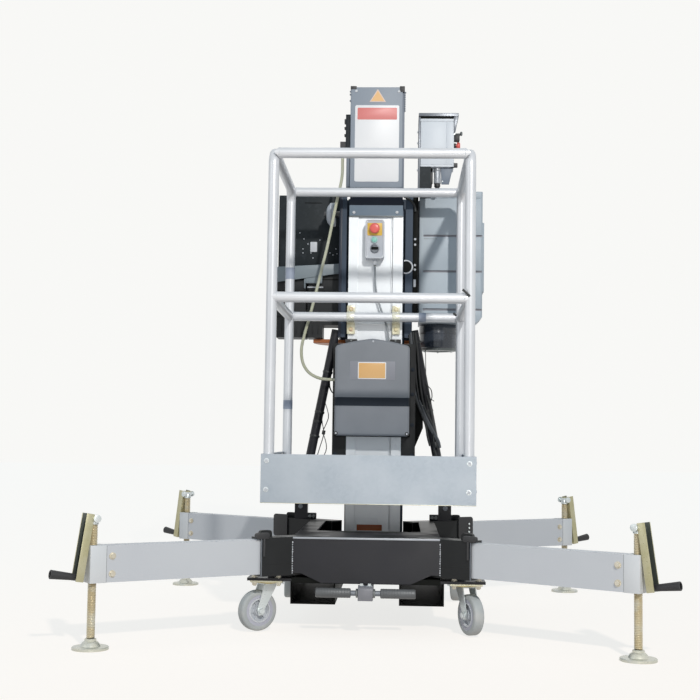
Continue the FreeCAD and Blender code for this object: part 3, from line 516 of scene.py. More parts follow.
# colour, second colour, roughness from and to, and what differs from the usual look
finishes = {
    "blackGloss": ((0.022, 0.022, 0.025), (0.032, 0.033, 0.037), (0.22, 0.36),
        dict(roughByPatch=True, coat=0.35, grainScale=120, bump=0.05, dust=0.12)),
    "frontBlack": ((0.017, 0.017, 0.021), (0.025, 0.025, 0.03), (0.3, 0.42),
        dict(roughByPatch=True, specular=0.25, grainScale=160, bump=0.06, dust=0.1)),
    "topBlack": ((0.016, 0.016, 0.02), (0.022, 0.022, 0.026), (0.3, 0.45),
        dict(roughByPatch=True, specular=0.03, grainScale=160, bump=0.05, dust=0.06)),
    # pale steel for the gland, and a painted highlight for the strip along the base's front top edge
    "paleSteelAndEdgeHighlight": ((0.38, 0.4, 0.43), (0.44, 0.46, 0.49), (0.3, 0.4), dict(metal=0.3, bump=0.05)),
    "edgeSteel": ((0.16, 0.175, 0.2), (0.2, 0.215, 0.24), (0.3, 0.4), dict(metal=0.3, bump=0.05)),
    "darkMast": ((0.032, 0.05, 0.078), (0.042, 0.062, 0.094), (0.38, 0.52),
        dict(metal=0.1, stretch=(1, 1, 0.02), grainScale=500, bump=0.08, dust=0.1, specular=0.3)),
    # darker copy of the mast's navy: painted shade for the spine under the housing and the left wing's
    # edge
    "shadeNavy": ((0.012, 0.018, 0.034), (0.018, 0.025, 0.043), (0.35, 0.5),
        dict(stretch=(1, 1, 0.02), grainScale=500, bump=0.06, specular=0.3)),
    "motorNavy": ((0.044, 0.054, 0.074), (0.058, 0.069, 0.09), (0.2, 0.3),
        dict(coat=0.4, coatRough=0.12, grainScale=200, bump=0.05, dust=0.05)),
    "cableBlack": ((0.012, 0.014, 0.015), (0.02, 0.022, 0.023), (0.35, 0.5),
        dict(grainScale=700, bump=0.1, dust=0.05)),
    "housingGrey": ((0.27, 0.305, 0.355), (0.31, 0.345, 0.395), (0.42, 0.58),
        dict(grainScale=600, bump=0.12, patchScale=3.0)),
    # darker black than frontBlack: painted shade for the sockets, their locks and the carriage plates
    "shadeBlack": ((0.012, 0.013, 0.014), (0.018, 0.019, 0.02), (0.3, 0.45),
        dict(roughByPatch=True, specular=0.25, grainScale=160, bump=0.06, dust=0.1)),
    "capSlate": ((0.13, 0.18, 0.235), (0.155, 0.205, 0.26), (0.35, 0.5),
        dict(grainScale=500, bump=0.08, specular=0.4)),
    "housingSide": ((0.17, 0.2, 0.245), (0.2, 0.23, 0.28), (0.42, 0.58),
        dict(grainScale=600, bump=0.1, patchScale=3.0)),
    "pendantGrey": ((0.53, 0.55, 0.59), (0.57, 0.59, 0.63), (0.4, 0.5), dict(grainScale=800, bump=0.1)),
    "mintRing": ((0.5, 0.68, 0.66), (0.55, 0.72, 0.7), (0.3, 0.4), dict(bump=0.03)),
    "signPale": ((0.8, 0.6, 0.5), (0.83, 0.64, 0.54), (0.35, 0.42), dict(bump=0.02, dust=0.02)),
    "clampGold": ((0.78, 0.77, 0.62), (0.84, 0.83, 0.74), (0.22, 0.38),
        dict(metal=0.45, grainScale=300, bump=0.08, patchScale=25, dust=0.03)),
    "blackPanel": ((0.012, 0.017, 0.02), (0.018, 0.023, 0.027), (0.4, 0.6),
        dict(grainScale=500, bump=0.15, third=(0.024, 0.03, 0.035), thirdScale=60, specular=0.2)),
    "batteryBlack": ((0.011, 0.0125, 0.014), (0.017, 0.019, 0.021), (0.4, 0.55),
        dict(grainScale=300, bump=0.12, specular=0.3)),
    "ledgeGrey": ((0.22, 0.26, 0.285), (0.25, 0.29, 0.315), (0.35, 0.5),
        dict(grainScale=500, bump=0.1)),
    "silverProfile": ((0.76, 0.785, 0.81), (0.81, 0.83, 0.85), (0.34, 0.5),
        dict(metal=0.35, stretch=(1, 1, 0.01), grainScale=700, bump=0.08, dust=0.03)),
    "basketTube": ((0.7, 0.71, 0.735), (0.75, 0.76, 0.785), (0.31, 0.36),
        dict(metal=0.3, stretch=(1, 1, 0.25), grainScale=500, bump=0.01, dust=0.03)),
    "galvanised": ((0.37, 0.415, 0.465), (0.45, 0.492, 0.535), (0.32, 0.5),
        dict(metal=0.35, spangle=110.0, spangleTint=(0.455, 0.5, 0.545), grainScale=260, bump=0.06,
            dust=0.04)),
    "coverPlastic": ((0.218, 0.23, 0.251), (0.247, 0.259, 0.282), (0.5, 0.62),
        dict(grainScale=900, bump=0.35, bumpDepth=0.0006, dust=0.15)),
    "cabinetPaint": ((0.44, 0.5, 0.55), (0.475, 0.535, 0.585), (0.42, 0.55),
        dict(grainScale=700, bump=0.15)),
    "casePlastic": ((0.72, 0.75, 0.79), (0.76, 0.79, 0.83), (0.4, 0.5), dict(grainScale=800, bump=0.1)),
    "tyreGrey": ((0.5, 0.52, 0.51), (0.45, 0.47, 0.47), (0.55, 0.7),
        dict(third=(0.56, 0.56, 0.54), grainScale=500, bump=0.15, patchScale=20)),
    "hubGrey": ((0.5, 0.52, 0.55), (0.55, 0.57, 0.6), (0.45, 0.6), dict(grainScale=500, bump=0.08)),
    "zinc": ((0.66, 0.71, 0.71), (0.74, 0.77, 0.77), (0.24, 0.42),
        dict(metal=0.55, grainScale=300, bump=0.1, patchScale=25, dust=0.04)),
    "yellowZinc": ((0.56, 0.48, 0.27), (0.62, 0.58, 0.42), (0.25, 0.42),
        dict(third=(0.6, 0.42, 0.36), metal=0.6, grainScale=300, bump=0.1, patchScale=16, thirdScale=12,
            dust=0.04)),
    "spindleGold": ((0.6, 0.5, 0.31), (0.66, 0.58, 0.41), (0.25, 0.4),
        dict(third=(0.7, 0.67, 0.56), metal=0.35, patchScale=18, thirdScale=26, bump=0.05)),
    "padZinc": ((0.62, 0.62, 0.53), (0.68, 0.66, 0.56), (0.22, 0.38),
        dict(third=(0.6, 0.62, 0.6), metal=0.5, patchScale=30, bump=0.1)),
    "boltGold": ((0.62, 0.57, 0.46), (0.72, 0.68, 0.58), (0.25, 0.4),
        dict(metal=0.6, patchScale=60, bump=0.05)),
    "endWhite": ((0.7, 0.71, 0.72), (0.75, 0.755, 0.76), (0.4, 0.5), dict(bump=0.06)),
    "hubLilac": ((0.49, 0.49, 0.56), (0.54, 0.54, 0.6), (0.45, 0.6), dict(bump=0.06)),
    "rimWhite": ((0.66, 0.67, 0.7), (0.72, 0.73, 0.75), (0.35, 0.5), dict(bump=0.06)),
    "paleZinc": ((0.6, 0.57, 0.4), (0.66, 0.64, 0.52), (0.25, 0.4),
        dict(metal=0.55, grainScale=300, bump=0.1, patchScale=25)),
    "crankGold": ((0.46, 0.43, 0.26), (0.53, 0.5, 0.35), (0.25, 0.4),
        dict(metal=0.55, grainScale=300, bump=0.1, patchScale=25)),
    # dark tone for the inside of the crank's channel: painted shade
    "crankShadeInside": ((0.058, 0.068, 0.058), (0.078, 0.086, 0.072), (0.35, 0.5),
        dict(metal=0.4, grainScale=300, bump=0.1)),
    "beamPaint": ((0.585, 0.6, 0.63), (0.62, 0.635, 0.66), (0.34, 0.46),
        dict(metal=0.15, grainScale=900, bump=0.08, patchScale=3.0, dust=0.06)),
    "barSteel": ((0.19, 0.195, 0.2), (0.25, 0.255, 0.265), (0.3, 0.45),
        dict(metal=0.5, grainScale=300, bump=0.15, patchScale=30)),
    "orangePaint": ((0.4, 0.105, 0.018), (0.48, 0.14, 0.025), (0.35, 0.5),
        dict(grainScale=200, bump=0.1)),
    "blackRubber": ((0.018, 0.018, 0.02), (0.03, 0.03, 0.032), (0.45, 0.62),
        dict(grainScale=700, bump=0.2)),
    "signWhite": ((0.92, 0.905, 0.9), (0.94, 0.925, 0.92), (0.35, 0.42), dict(bump=0.02, dust=0.02)),
    "signRed": ((0.76, 0.22, 0.2), (0.8, 0.25, 0.23), (0.35, 0.42), dict(bump=0.02, dust=0.02)),
    "signOrange": ((0.84, 0.48, 0.18), (0.87, 0.52, 0.22), (0.35, 0.42), dict(bump=0.02, dust=0.02)),
    "plateOrange": ((0.36, 0.09, 0.025), (0.42, 0.12, 0.035), (0.4, 0.5), dict(bump=0.02)),
    "plateGrey": ((0.16, 0.175, 0.175), (0.2, 0.21, 0.21), (0.35, 0.5), dict(metal=0.3, bump=0.05)),
    "gripGrey": ((0.108, 0.112, 0.116), (0.135, 0.14, 0.145), (0.4, 0.55),
        dict(metal=0.3, grainScale=300, bump=0.15)),
    # clear tape on the cover, and painted shade inside the cabinet's grooves
    "clearTapeAndGrooveShade": ((0.31, 0.31, 0.34), (0.34, 0.34, 0.37), (0.45, 0.55), dict(bump=0.05, specular=0.2)),
    "postTape": ((0.36, 0.4, 0.49), (0.4, 0.44, 0.53), (0.35, 0.45), dict(bump=0.04)),
    "blockSteel": ((0.19, 0.19, 0.21), (0.225, 0.225, 0.245), (0.35, 0.48), dict(metal=0.2, bump=0.08)),
    "raceGold": ((0.6, 0.46, 0.13), (0.66, 0.54, 0.24), (0.3, 0.42), dict(metal=0.3, bump=0.05)),
    # lighter grey for some black cables of the loom: a painted highlight
    "cableHighlightGrey": ((0.06, 0.066, 0.074), (0.088, 0.094, 0.104), (0.3, 0.42), dict(bump=0.06)),
    "stripeDark": ((0.02, 0.026, 0.036), (0.025, 0.032, 0.043), (0.5, 0.6),
        dict(specular=0.15, bump=0.05)),
    "stopRed": ((0.85, 0.13, 0.11), (0.88, 0.16, 0.14), (0.25, 0.35), dict(bump=0.03)),
    "buttonYellow": ((0.8, 0.5, 0.06), (0.84, 0.54, 0.08), (0.35, 0.45), dict(bump=0.03)),
    "buttonGreen": ((0.27, 0.62, 0.52), (0.32, 0.68, 0.58), (0.3, 0.4), dict(bump=0.03)),
    "boneWhite": ((0.76, 0.755, 0.7), (0.8, 0.795, 0.74), (0.35, 0.45), dict(bump=0.05)),
    "pocketBlack": ((0.004, 0.005, 0.004), (0.007, 0.007, 0.007), (0.5, 0.65),
        dict(grainScale=200, bump=0.15, dust=0.05, specular=0.1)),
    "motorBlack": ((0.02, 0.021, 0.025), (0.03, 0.031, 0.036), (0.2, 0.32),
        dict(coat=0.5, grainScale=200, bump=0.05)),
}
finish = {name: makeFinish(name, *tones, **special) for name, (*tones, special) in finishes.items()}

nodeFinish = {
    "blackGloss": ["mast_foot", "loading_axle"],
    "topBlack": ["base_top_plate"],
    "shadeBlack": ["outrigger_sockets", "socket_locks", "carriage_plates"],
    "frontBlack": ["base_front_panel", "caster_brackets", "braces"],
    "pocketBlack": ["fork_pockets", "base_frame"],
    "batteryBlack": ["battery_unit"],
    "motorBlack": ["motor"],
    "darkMast": ["mast_outer", "mast_stage_1", "mast_stage_2", "mast_stage_3"],
    # the spine is painted darker as its shade under the housing
    "shadeNavy": ["housing_spine"],
    "housingGrey": ["label_housing"],
    "capSlate": ["carriage_cap"],
    "blackPanel": ["side_panel", "control_stand"],
    "silverProfile": ["carriage_profile"],
    "basketTube": ["basket_hoops", "basket_rails"],
    "galvanised": ["toe_boards", "platform_floor", "platform_bearers"],
    "coverPlastic": ["cover_box"],
    "cabinetPaint": ["power_cabinet"],
    "casePlastic": ["pendant_box", "control_box"],
    "tyreGrey": ["loading_wheel"] + ["caster_wheel_" + c for c in corners],
    "zinc": ["caster_fork_" + c for c in corners],
    "paleZinc": ["rail_clamps", "caster_top_plates"],
    "yellowZinc": ["jack_" + c for c in corners],
    "beamPaint": ["outrigger_beam_" + c for c in corners],
    "barSteel": ["drawbar", "drawbar_guide"],
    "orangePaint": ["drip_dish"],
    "blackRubber": ["conduit_gland"],
    "boneWhite": ["conduit"],
}
for finishName, names in nodeFinish.items():
    for nodeName in names:
        node = nodes[nodeName]
        node.data.materials.clear()
        node.data.materials.append(finish[finishName])

# Cords

print("stage: cords")


def cordFinish(name, settings):
    # sheath colour with ribs that run round the cord, by the curve's own length coordinate, and a
    # darker colour in the valleys between the ribs as painted shade
    mat, tree, shader = newMaterial(name, settings["color"])
    texture = addNode(tree, "TexCoord", {}).outputs
    marks = placeGroup(tree, patchGroup, texture["Object"], {"Scale": 40.0, "Low": 0.4, "High": 0.7})
    color = mixColor(tree, marks, settings["color"], settings["second"])
    along = addNode(tree, "SeparateXYZ", {0: texture["UV"]}).outputs["X"]
    wave = addMath(tree, "SINE", addMath(tree, "MULTIPLY", along, settings["ribs"] * 2 * math.pi))
    valleyShade = addNode(tree, "MapRange", {"Value": wave, "From Min": -1.0, "From Max": 1.0,
        "To Min": settings["ribShade"], "To Max": 0.0})
    tree.links.new(mixColor(tree, valleyShade.outputs[0], color, settings["valleyShade"]), shader["Base Color"])
    bump = addNode(tree, "Bump", {"Strength": settings["ribDepth"], "Distance": 0.001, "Height": wave})
    tree.links.new(bump.outputs[0], shader["Normal"])
    shader["Roughness"].default_value = settings["rough"]
    return mat


conduit = {
    "points": [
        (-128, 398, 1630), (-128, 398, 1600), (-127, 388, 1567), (-128, 372, 1533), (-134, 357, 1494),
        (-145, 351, 1442), (-157, 350, 1378), (-168, 350, 1318), (-181, 350, 1256), (-196, 350, 1194),
        (-210, 350, 1130), (-225, 350, 1066), (-241, 350, 1004), (-256, 350, 950), (-267, 349, 900),
        (-262, 347, 850), (-238, 344, 812), (-200, 340, 793), (-166, 333, 789), (-138.05, 333, 789)],
    "diameter": 0.011, "length": 0.951, "lay": "hanging", "stiffness": "medium",
}
pendantCord = {
    "points": [
        (-2, 344, 1228.95), (-2, 344, 1194), (-1, 346, 1156), (2, 347, 1118), (11, 347, 1078),
        (24, 347, 1040), (38, 346, 1003), (48, 345, 966), (51, 345, 929.7)],
    "diameter": 0.007, "length": 0.307, "lay": "hanging", "stiffness": "medium",
}


def makeCord(name, settings, cordMaterial, node, body):
    data = bpy.data.curves.new(name, "CURVE")
    data.dimensions = "3D"
    line = data.splines.new("NURBS")
    line.points.add(len(settings["points"]) - 1)
    for point, place in zip(line.points, settings["points"]):
        point.co = (*[v / 1000 for v in place], 1)
    line.order_u = 3
    line.use_endpoint_u = True
    line.resolution_u = 8
    data.bevel_depth = settings["diameter"] / 2
    data.bevel_resolution = 5
    data.use_fill_caps = True
    piece = bpy.data.objects.new(name, data)
    bpy.context.scene.collection.objects.link(piece)
    data.materials.append(cordMaterial)
    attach(piece, body)
    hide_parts(node)
    return piece


conduitFinish = cordFinish("conduitSheath", {"color": (0.66, 0.66, 0.48), "second": (0.72, 0.71, 0.56),
    "valleyShade": (0.40, 0.395, 0.28), "ribs": 260, "ribShade": 0.45, "ribDepth": 0.6, "rough": 0.42})
pendantFinish = cordFinish("cableSheath", {"color": (0.30, 0.32, 0.34), "second": (0.36, 0.38, 0.40),
    "valleyShade": (0.24, 0.26, 0.28), "ribs": 30, "ribShade": 0.2, "ribDepth": 0.05, "rough": 0.4})
makeCord("conduitHose", conduit, conduitFinish, "conduit", "carriage")
makeCord("pendantCable", pendantCord, pendantFinish, "pendant_cord", "carriage")

# Jacks

print("stage: jacks")

jack = {
    "at": 0.736,                  # from the middle, along X and along Y
    "turn": math.atan2(0.325 - 0.736, 0.12666 - 0.736),
    "threadTop": 0.345, "root": 0.0102, "crest": 0.012, "pitch": 0.0045,
    "pad": 0.05,
    "crankTop": 0.012, "crankDown": 0.172, "crankWidth": 0.040, "crankDeep": 0.022, "sheet": 0.003,
    "lean": math.radians(8.5), "pivot": 0.352,
    "gripOut": 0.085, "gripThin": 0.0085, "gripThick": 0.0125,
    "capOut": -0.0125, "capIn": 0.030, "beamLow": 0.1795, "beamHigh": 0.2795, "beamHalf": 0.025,
    "boltIn": 0.047, "boltHigh": 0.2505, "boltLow": 0.2025,
}


def beamPlace(sx, sy):
    # from the frame in which the beam runs along +X from the jack's axis, to one corner
    turn = Matrix.Rotation(jack["turn"], 4, "Z")
    move = Matrix.Translation((jack["at"], jack["at"], 0))
    return Matrix.Diagonal((sx, sy, 1, 1)) @ move @ turn


def makeThread():
    # one turn of the thread's flank, carried up by the Screw modifier
    bpy.ops.object.select_all(action="DESELECT")
    bpy.ops.mesh.primitive_plane_add(size=1)
    piece = bpy.context.object
    bottom = 0.028
    half = jack["pitch"] / 2
    shape = [(jack["root"], bottom), (jack["crest"], bottom + half), (jack["root"], bottom + 2 * half)]
    bpy.ops.object.mode_set(mode="EDIT")
    bpy.ops.mesh.select_all(action="SELECT")
    bpy.ops.mesh.delete(type="ONLY_FACE")
    bpy.ops.mesh.select_all(action="DESELECT")
    bpy.ops.object.mode_set(mode="OBJECT")
    piece.data.vertices[3].select = True
    bpy.ops.object.mode_set(mode="EDIT")
    bpy.ops.mesh.delete(type="VERT")
    bpy.ops.object.mode_set(mode="OBJECT")
    for vertex, (radius, height) in zip(sortedChain(piece), shape):
        vertex.co = (radius, 0, height)
    turns = int((jack["threadTop"] - bottom) / jack["pitch"])
    return change(piece, "SCREW", axis="Z", steps=20, render_steps=20, screw_offset=jack["pitch"],
        iterations=turns, use_merge_vertices=True, merge_threshold=0.0001)


def sortedChain(piece):
    # the vertices of an open chain of edges, in order from one end
    links = {}
    for edge in piece.data.edges:
        a, b = edge.vertices
        links.setdefault(a, []).append(b)
        links.setdefault(b, []).append(a)
    start = [v for v, n in links.items() if len(n) == 1][0]
    order = [start]
    while len(order) < len(links):
        order += [v for v in links[order[-1]] if v not in order][:1]
    return [piece.data.vertices[i] for i in order]


def makePad():
    pad = addRod("padDisc", (0, 0, 0), (0, 0, 0.006), jack["pad"], 56)
    stepFaces(pad, facing((0, 0, 1)), [(0.0016, (0, 0, 0.0016)), (0.020, (0, 0, 0.0012)),
        (0.0015, (0, 0, 0.002)), (0.004, (0, 0, 0.007)), (0.0045, (0, 0, 0.0035)),
        (0.0022, (0, 0, 0.0015)), (0, (0, 0, 0.005)), (0.0015, (0, 0, 0.0015))])
    return pad


def makeCrank():
    # a channel open outward: the block loses its outward face and both ends, and gets its wall
    width, deep = jack["crankWidth"] / 2, jack["crankDeep"]
    arm = addBlock("crankArm", (-width, -deep, -jack["crankDown"]), (width, 0, jack["crankTop"]))
    editFaces(arm, lambda centre, normal: normal.y < -0.9 or abs(normal.z) > 0.9)
    bpy.ops.mesh.delete(type="FACE")
    closeEdit()
    change(arm, "SOLIDIFY", thickness=jack["sheet"], offset=-1)
    roundEdges(arm, 0.0008)
    painted(arm, "crankGold")

    # the channel's inner faces get the dark tone: painted shade
    def shadedInside(centre, normal):
        within = abs(centre.x) < width - 0.001 and centre.y > 0.002 - deep
        return within and (normal.y < -0.7 or normal.x * centre.x < -0.0001)

    paintFaces(arm, "crankShadeInside", shadedInside)
    return arm


def makeGrip():
    out = -jack["sheet"]
    low = -jack["crankDown"] + 0.011
    stub = addRod("gripPin", (0, out + 0.001, low), (0, out - 0.012, low), 0.006, 20)
    painted(stub, "zinc")
    grip = addRod("gripTube", (0, out - 0.008, low), (0, out - jack["gripOut"], low), jack["gripThin"],
        28)
    end = facing((0, -1, 0))
    editFaces(grip, end)
    factor = jack["gripThick"] / jack["gripThin"]
    bpy.ops.transform.resize(value=(factor, 1, factor), center_override=(0, out - jack["gripOut"], low))
    closeEdit()
    stepFaces(grip, end, [(0.001, (0, -0.001, 0)), (0.003, (0, 0, 0)), (0, (0, 0.02, 0))])
    painted(grip, "blackRubber")
    nut = addRod("gripNut", (0, 0.004, low), (0, -0.001, low), 0.008, 6)
    painted(nut, "zinc")
    return [stub, grip, nut]


def makePivot():
    # rounded cap on the spindle with a cross pin and its heads
    knob = addRod("pivotKnob", (0, 0, jack["pivot"] - 0.016), (0, 0, jack["pivot"] - 0.001), 0.0135, 28)
    stepFaces(knob, facing((0, 0, 1)), [(0.002, (0, 0, 0.0035)), (0.004, (0, 0, 0.003)),
        (0.004, (0, 0, 0.001))])
    cross = addRod("pivotPin", (0.002, -0.0235, jack["pivot"]), (0.002, 0.0235, jack["pivot"]), 0.0065,
        24)
    heads = []
    for side in (-1, 1):
        head = addRod("pivotHead", (0.002, side * 0.0195, jack["pivot"]),
            (0.002, side * 0.0255, jack["pivot"]), 0.0105, 24)
        stepFaces(head, facing((0, side, 0)), [(0.0025, (0, side * 0.0012, 0))])
        heads.append(head)
    return painted(joinPieces([knob, cross] + heads, "pivotCap"), "zinc")


def makeJack():
    thread = painted(makeThread(), "spindleGold")
    tip = addRod("spindleTip", (0, 0, jack["threadTop"] - 0.008), (0, 0, jack["pivot"] - 0.004), 0.0118,
        24)
    painted(tip, "spindleGold")
    pad = painted(makePad(), "padZinc")
    arm = joinPieces([makeCrank()] + makeGrip(), "crankWhole")
    lean = Matrix.Rotation(-jack["lean"], 4, "X")
    quarter = Matrix.Rotation(-math.pi / 2, 4, "Z")
    arm.data.transform(Matrix.Translation((-0.006, 0, jack["pivot"])) @ quarter @ lean)
    return joinPieces([thread, tip, pad, arm, makePivot()], "jackWhole")


def hexBolt(name, place, axis, radius, height, washer=0.0):
    # hexagon head with a chamfered face, standing on a washer
    way = Vector(axis).normalized()
    foot = Vector(place)
    parts = []
    if washer:
        parts.append(addRod("washer", foot, foot + way * 0.0016, washer, 24))
        foot = foot + way * 0.0015
    head = addRod(name, foot, foot + way * height, radius, 6)
    stepFaces(head, facing(way), [(radius * 0.12, way * radius * 0.12)])
    return joinPieces(parts + [head], name)


def makeBeamEnd():
    # white cap on the beam's end, the dark seam behind it and two bolts on each side
    half, low, high = jack["beamHalf"], jack["beamLow"], jack["beamHigh"]
    cap = addBlock("beamEndCap", (jack["capOut"] - 0.003, -half - 0.0008, low - 0.0008),
        (jack["capIn"], half + 0.0008, high + 0.0008))
    stepFaces(cap, lambda centre, normal: abs(normal.z) > 0.9, [(0.002, (0, 0, 0))])
    cutOut(cap, addRod("endHole", (0, 0, low - 0.01), (0, 0, high + 0.01), 0.0135, 32))
    roundEdges(cap, 0.0012)
    keep("endWhite", cap)
    seam = addBlock("beamSeam", (jack["capIn"] - 0.001, -half - 0.0003, low - 0.0003),
        (jack["capIn"] + 0.0012, half + 0.0003, high + 0.0003))
    roundEdges(seam, 0.0002, 1)
    keep("plateGrey", seam)
    for side in (-1, 1):
        for height in (jack["boltLow"], jack["boltHigh"]):
            keep("boltGold", hexBolt("beamBolt", (jack["boltIn"], side * half, height), (0, side, 0),
                0.0072, 0.0055, 0.0098))
    return joinKept("beamEnd")


jackModel = makeJack()
beamEndModel = makeBeamEnd()
for corner, (sx, sy) in corners.items():
    place = beamPlace(sx, sy)
    whole = copyPiece(jackModel, "jack_" + corner + "_dressed", place)
    dress(whole, "jack_" + corner, "jack_" + corner)
    dress(copyPiece(beamEndModel, "beam_end_" + corner, place), "outrigger_" + corner)
discard(jackModel)
discard(beamEndModel)

# Casters

print("stage: casters")

caster = {
    "x": 0.297, "y": 0.356, "trail": 0.035, "axleHigh": 0.063, "radius": 0.06, "half": 0.016,
    "turns": {"fl": 217, "fr": -66, "rl": 95, "rr": 80},   # degrees, as the casters stand
    "boltOut": 0.036, "plateTop": 0.162, "plateUnder": 0.148, "spokes": 5,
    "rings": [("hubLilac", 0.0358, 0.0455), ("rimWhite", 0.0285, 0.0358), ("hubGrey", 0.0, 0.0285)],
}


def casterPlace(corner):
    sx, sy = corners[corner]
    turn = Matrix.Rotation(math.radians(caster["turns"][corner]), 4, "Z")
    return Matrix.Translation((sx * caster["x"], sy * caster["y"], 0)) @ turn


def makeWheel():
    middle = (caster["trail"], 0, caster["axleHigh"])
    half, radius = caster["half"], caster["radius"]
    axis = Vector(middle)
    wheel = addRod("casterWheel", (axis.x, -half, axis.z), (axis.x, half, axis.z), radius, 60)
    roundEdges(wheel, 0.0075, 4, 60)
    for side in (-1, 1):
        flat = facing((0, side, 0), 0.99)
        stepFaces(wheel, flat, [(0.006, (0, side * 0.0004, 0)), (0.0012, (0, -side * 0.0012, 0)),
            (0.0075, (0, side * 0.0005, 0)), (0.0012, (0, -side * 0.0018, 0)),
            (0.0015, (0, side * 0.0022, 0)), (0.0028, (0, 0, 0)), (0.0015, (0, -side * 0.006, 0)),
            (0.014, (0, -side * 0.0005, 0)), (0.0012, (0, side * 0.0055, 0)),
            (0.006, (0, side * 0.001, 0))])
    painted(wheel, "tyreGrey")

    def gap(centre):
        return math.hypot(centre.x - axis.x, centre.z - axis.z)

    for name, low, high in caster["rings"]:
        paintFaces(wheel, name, lambda centre,
            normal: low < gap(centre) < high and abs(centre.y) > 0.004)
    for side in (-1, 1):
        def slotTest(centre, normal, side=side):
            turn = math.degrees(math.atan2(centre.z - axis.z,
                centre.x - axis.x)) % (360 / caster["spokes"])
            between = 0.0155 < gap(centre) < 0.0275 and 14 < turn < 58
            return between and normal.y * side > 0.9 and centre.y * side > 0.003
        stepFaces(wheel, slotTest, [(0.0012, (0, 0, 0)), (0, (0, -side * 0.004, 0))])
        # the deep faces of the slots are painted near-black: painted shade in the recesses
        deep = lambda centre, normal, side=side: slotTest(centre,
            normal) and centre.y * side < half - 0.011
        paintFaces(wheel, "pocketBlack", deep)
    return wheel


def makeAxleEnds():
    outside = caster["half"] + 0.0065
    for side in (-1, 1):
        foot = (caster["trail"], side * outside, caster["axleHigh"])
        keep("zinc", hexBolt("axleHead", foot, (0, side, 0), 0.0095, 0.0065, 0.0115))
    return joinKept("axleEnds")


def makeCasterBolts():
    # four bolts down through bracket and plate, nut and thread below
    top, under = caster["plateTop"], caster["plateUnder"]
    for bx, by in corners.values():
        x, y = bx * caster["boltOut"], by * caster["boltOut"]
        keep("boltGold", hexBolt("plateBolt", (x, y, top), (0, 0, 1), 0.0078, 0.006, 0.0105))
        keep("boltGold", hexBolt("plateNut", (x, y, under), (0, 0, -1), 0.0078, 0.0065, 0.0105))
        keep("boltGold", addRod("plateThread", (x, y, under), (x, y, under - 0.011), 0.0042, 12))
    return joinKept("plateBolts")


wheelModel = makeWheel()
axleModel = makeAxleEnds()
boltModel = makeCasterBolts()
for corner, (sx, sy) in corners.items():
    wheel = copyPiece(wheelModel, "caster_wheel_" + corner + "_dressed", casterPlace(corner))
    dress(wheel, "wheel_" + corner, "caster_wheel_" + corner)
    dress(copyPiece(axleModel, "axle_ends_" + corner, casterPlace(corner)), "caster_" + corner)
    move = Matrix.Translation((sx * caster["x"], sy * caster["y"], 0))
    dress(copyPiece(boltModel, "caster_bolts_" + corner, move), "base")
discard(wheelModel)
discard(axleModel)
discard(boltModel)

# Label housing with its switch strip

print("stage: housing and control box")

housing = {
    "low": 1.4985, "high": 1.877, "half": 0.1, "front": 0.37, "step": 0.3768, "back": 0.455,
    "face": (-0.0985, 0.0925), "faceTop": 1.8745,
    "plate": (-0.0825, 0.0805, 1.5205, 1.8065), "band": (-0.0735, 0.072, 1.7525, 1.7968),
    "sign": (0.0005, 1.819, 0.0305, 0.047),
    "screws": [(-0.0786, 1.86), (0.0785, 1.8584)],
    "teethRight": [1.853, 1.8445, 1.836, 1.8275, 1.819, 1.8105, 1.802, 1.7935, 1.785],
    "teethLeft": [1.857, 1.846, 1.822],
}


def makeHousing():
    half, front, step = housing["half"], housing["front"], housing["step"]
    body = softBlock("housingBody", (-half, step, housing["low"]),
        (half, housing["back"], housing["high"]), 0.0025)
    stepFaces(body, facesBack, [(0.009, (0, 0, 0)), (0.0012, (0, -0.0018, 0))])
    keep("housingSide", body)
    left, right = housing["face"]
    face = softBlock("housingFace", (left, front, housing["low"]),
        (right, step + 0.001, housing["faceTop"]), 0.0012, (0, 1, 0), 0.004)
    keep("housingGrey", face)
    keep("blackRubber", softBlock("cornerBlack", (-0.1003, front - 0.0008, 1.8665),
        (-0.078, 0.394, 1.8788), 0.0012))
    cap = softBlock("cornerCap", (0.0815, front - 0.001, 1.8565), (0.1003, 0.392, 1.8785), 0.0012)
    slideFaces(cap, facesUnder, (0.006, 0, 0))
    keep("blackRubber", cap)
    for side, heights in ((1, housing["teethRight"]), (-1, housing["teethLeft"])):
        for height in heights:
            keep("housingSide", softBlock("edgeTooth", (side * 0.0990, 0.372, height),
                (side * 0.1035, 0.3815, height + 0.0048), 0.0006))
    for x, z in housing["screws"]:
        keep("rimWhite", domeScrew((x, front, z), (0, -1, 0), 0.0052, 0.0032))
    for x in (-0.082, 0.082):
        for z in (1.53, 1.845):
            keep("zinc", domeScrew((x, 0.4535, z), (0, 1, 0), 0.0042, 0.0026))
    for i in range(7):
        z = 1.575 + i * 0.013
        keep("blackRubber", softBlock("backVent", (-0.045, 0.4515, z), (0.045, 0.4537, z + 0.0045),
            0.0009))
    strip = softBlock("switchStrip", (-0.117, 0.385, 1.64), (-0.0995, 0.425, 1.776), 0.0012)
    stepFaces(strip, facesFront, [(0.0028, (0, 0, 0)), (0.0008, (0, 0.0015, 0))])
    keep("blackPanel", strip)
    keep("housingSide", softBlock("stripDuct", (-0.1135, 0.389, 1.505), (-0.0995, 0.415, 1.6405),
        0.0012))
    for z, size in ((1.7524, 0.008), (1.727, 0.004), (1.70, 0.004), (1.668, 0.004)):
        keep("blackRubber", softBlock("stripClip", (-0.1225, 0.392, z - size),
            (-0.1165, 0.412, z + size), 0.0012))
    return joinKept("label_housing_dressed")


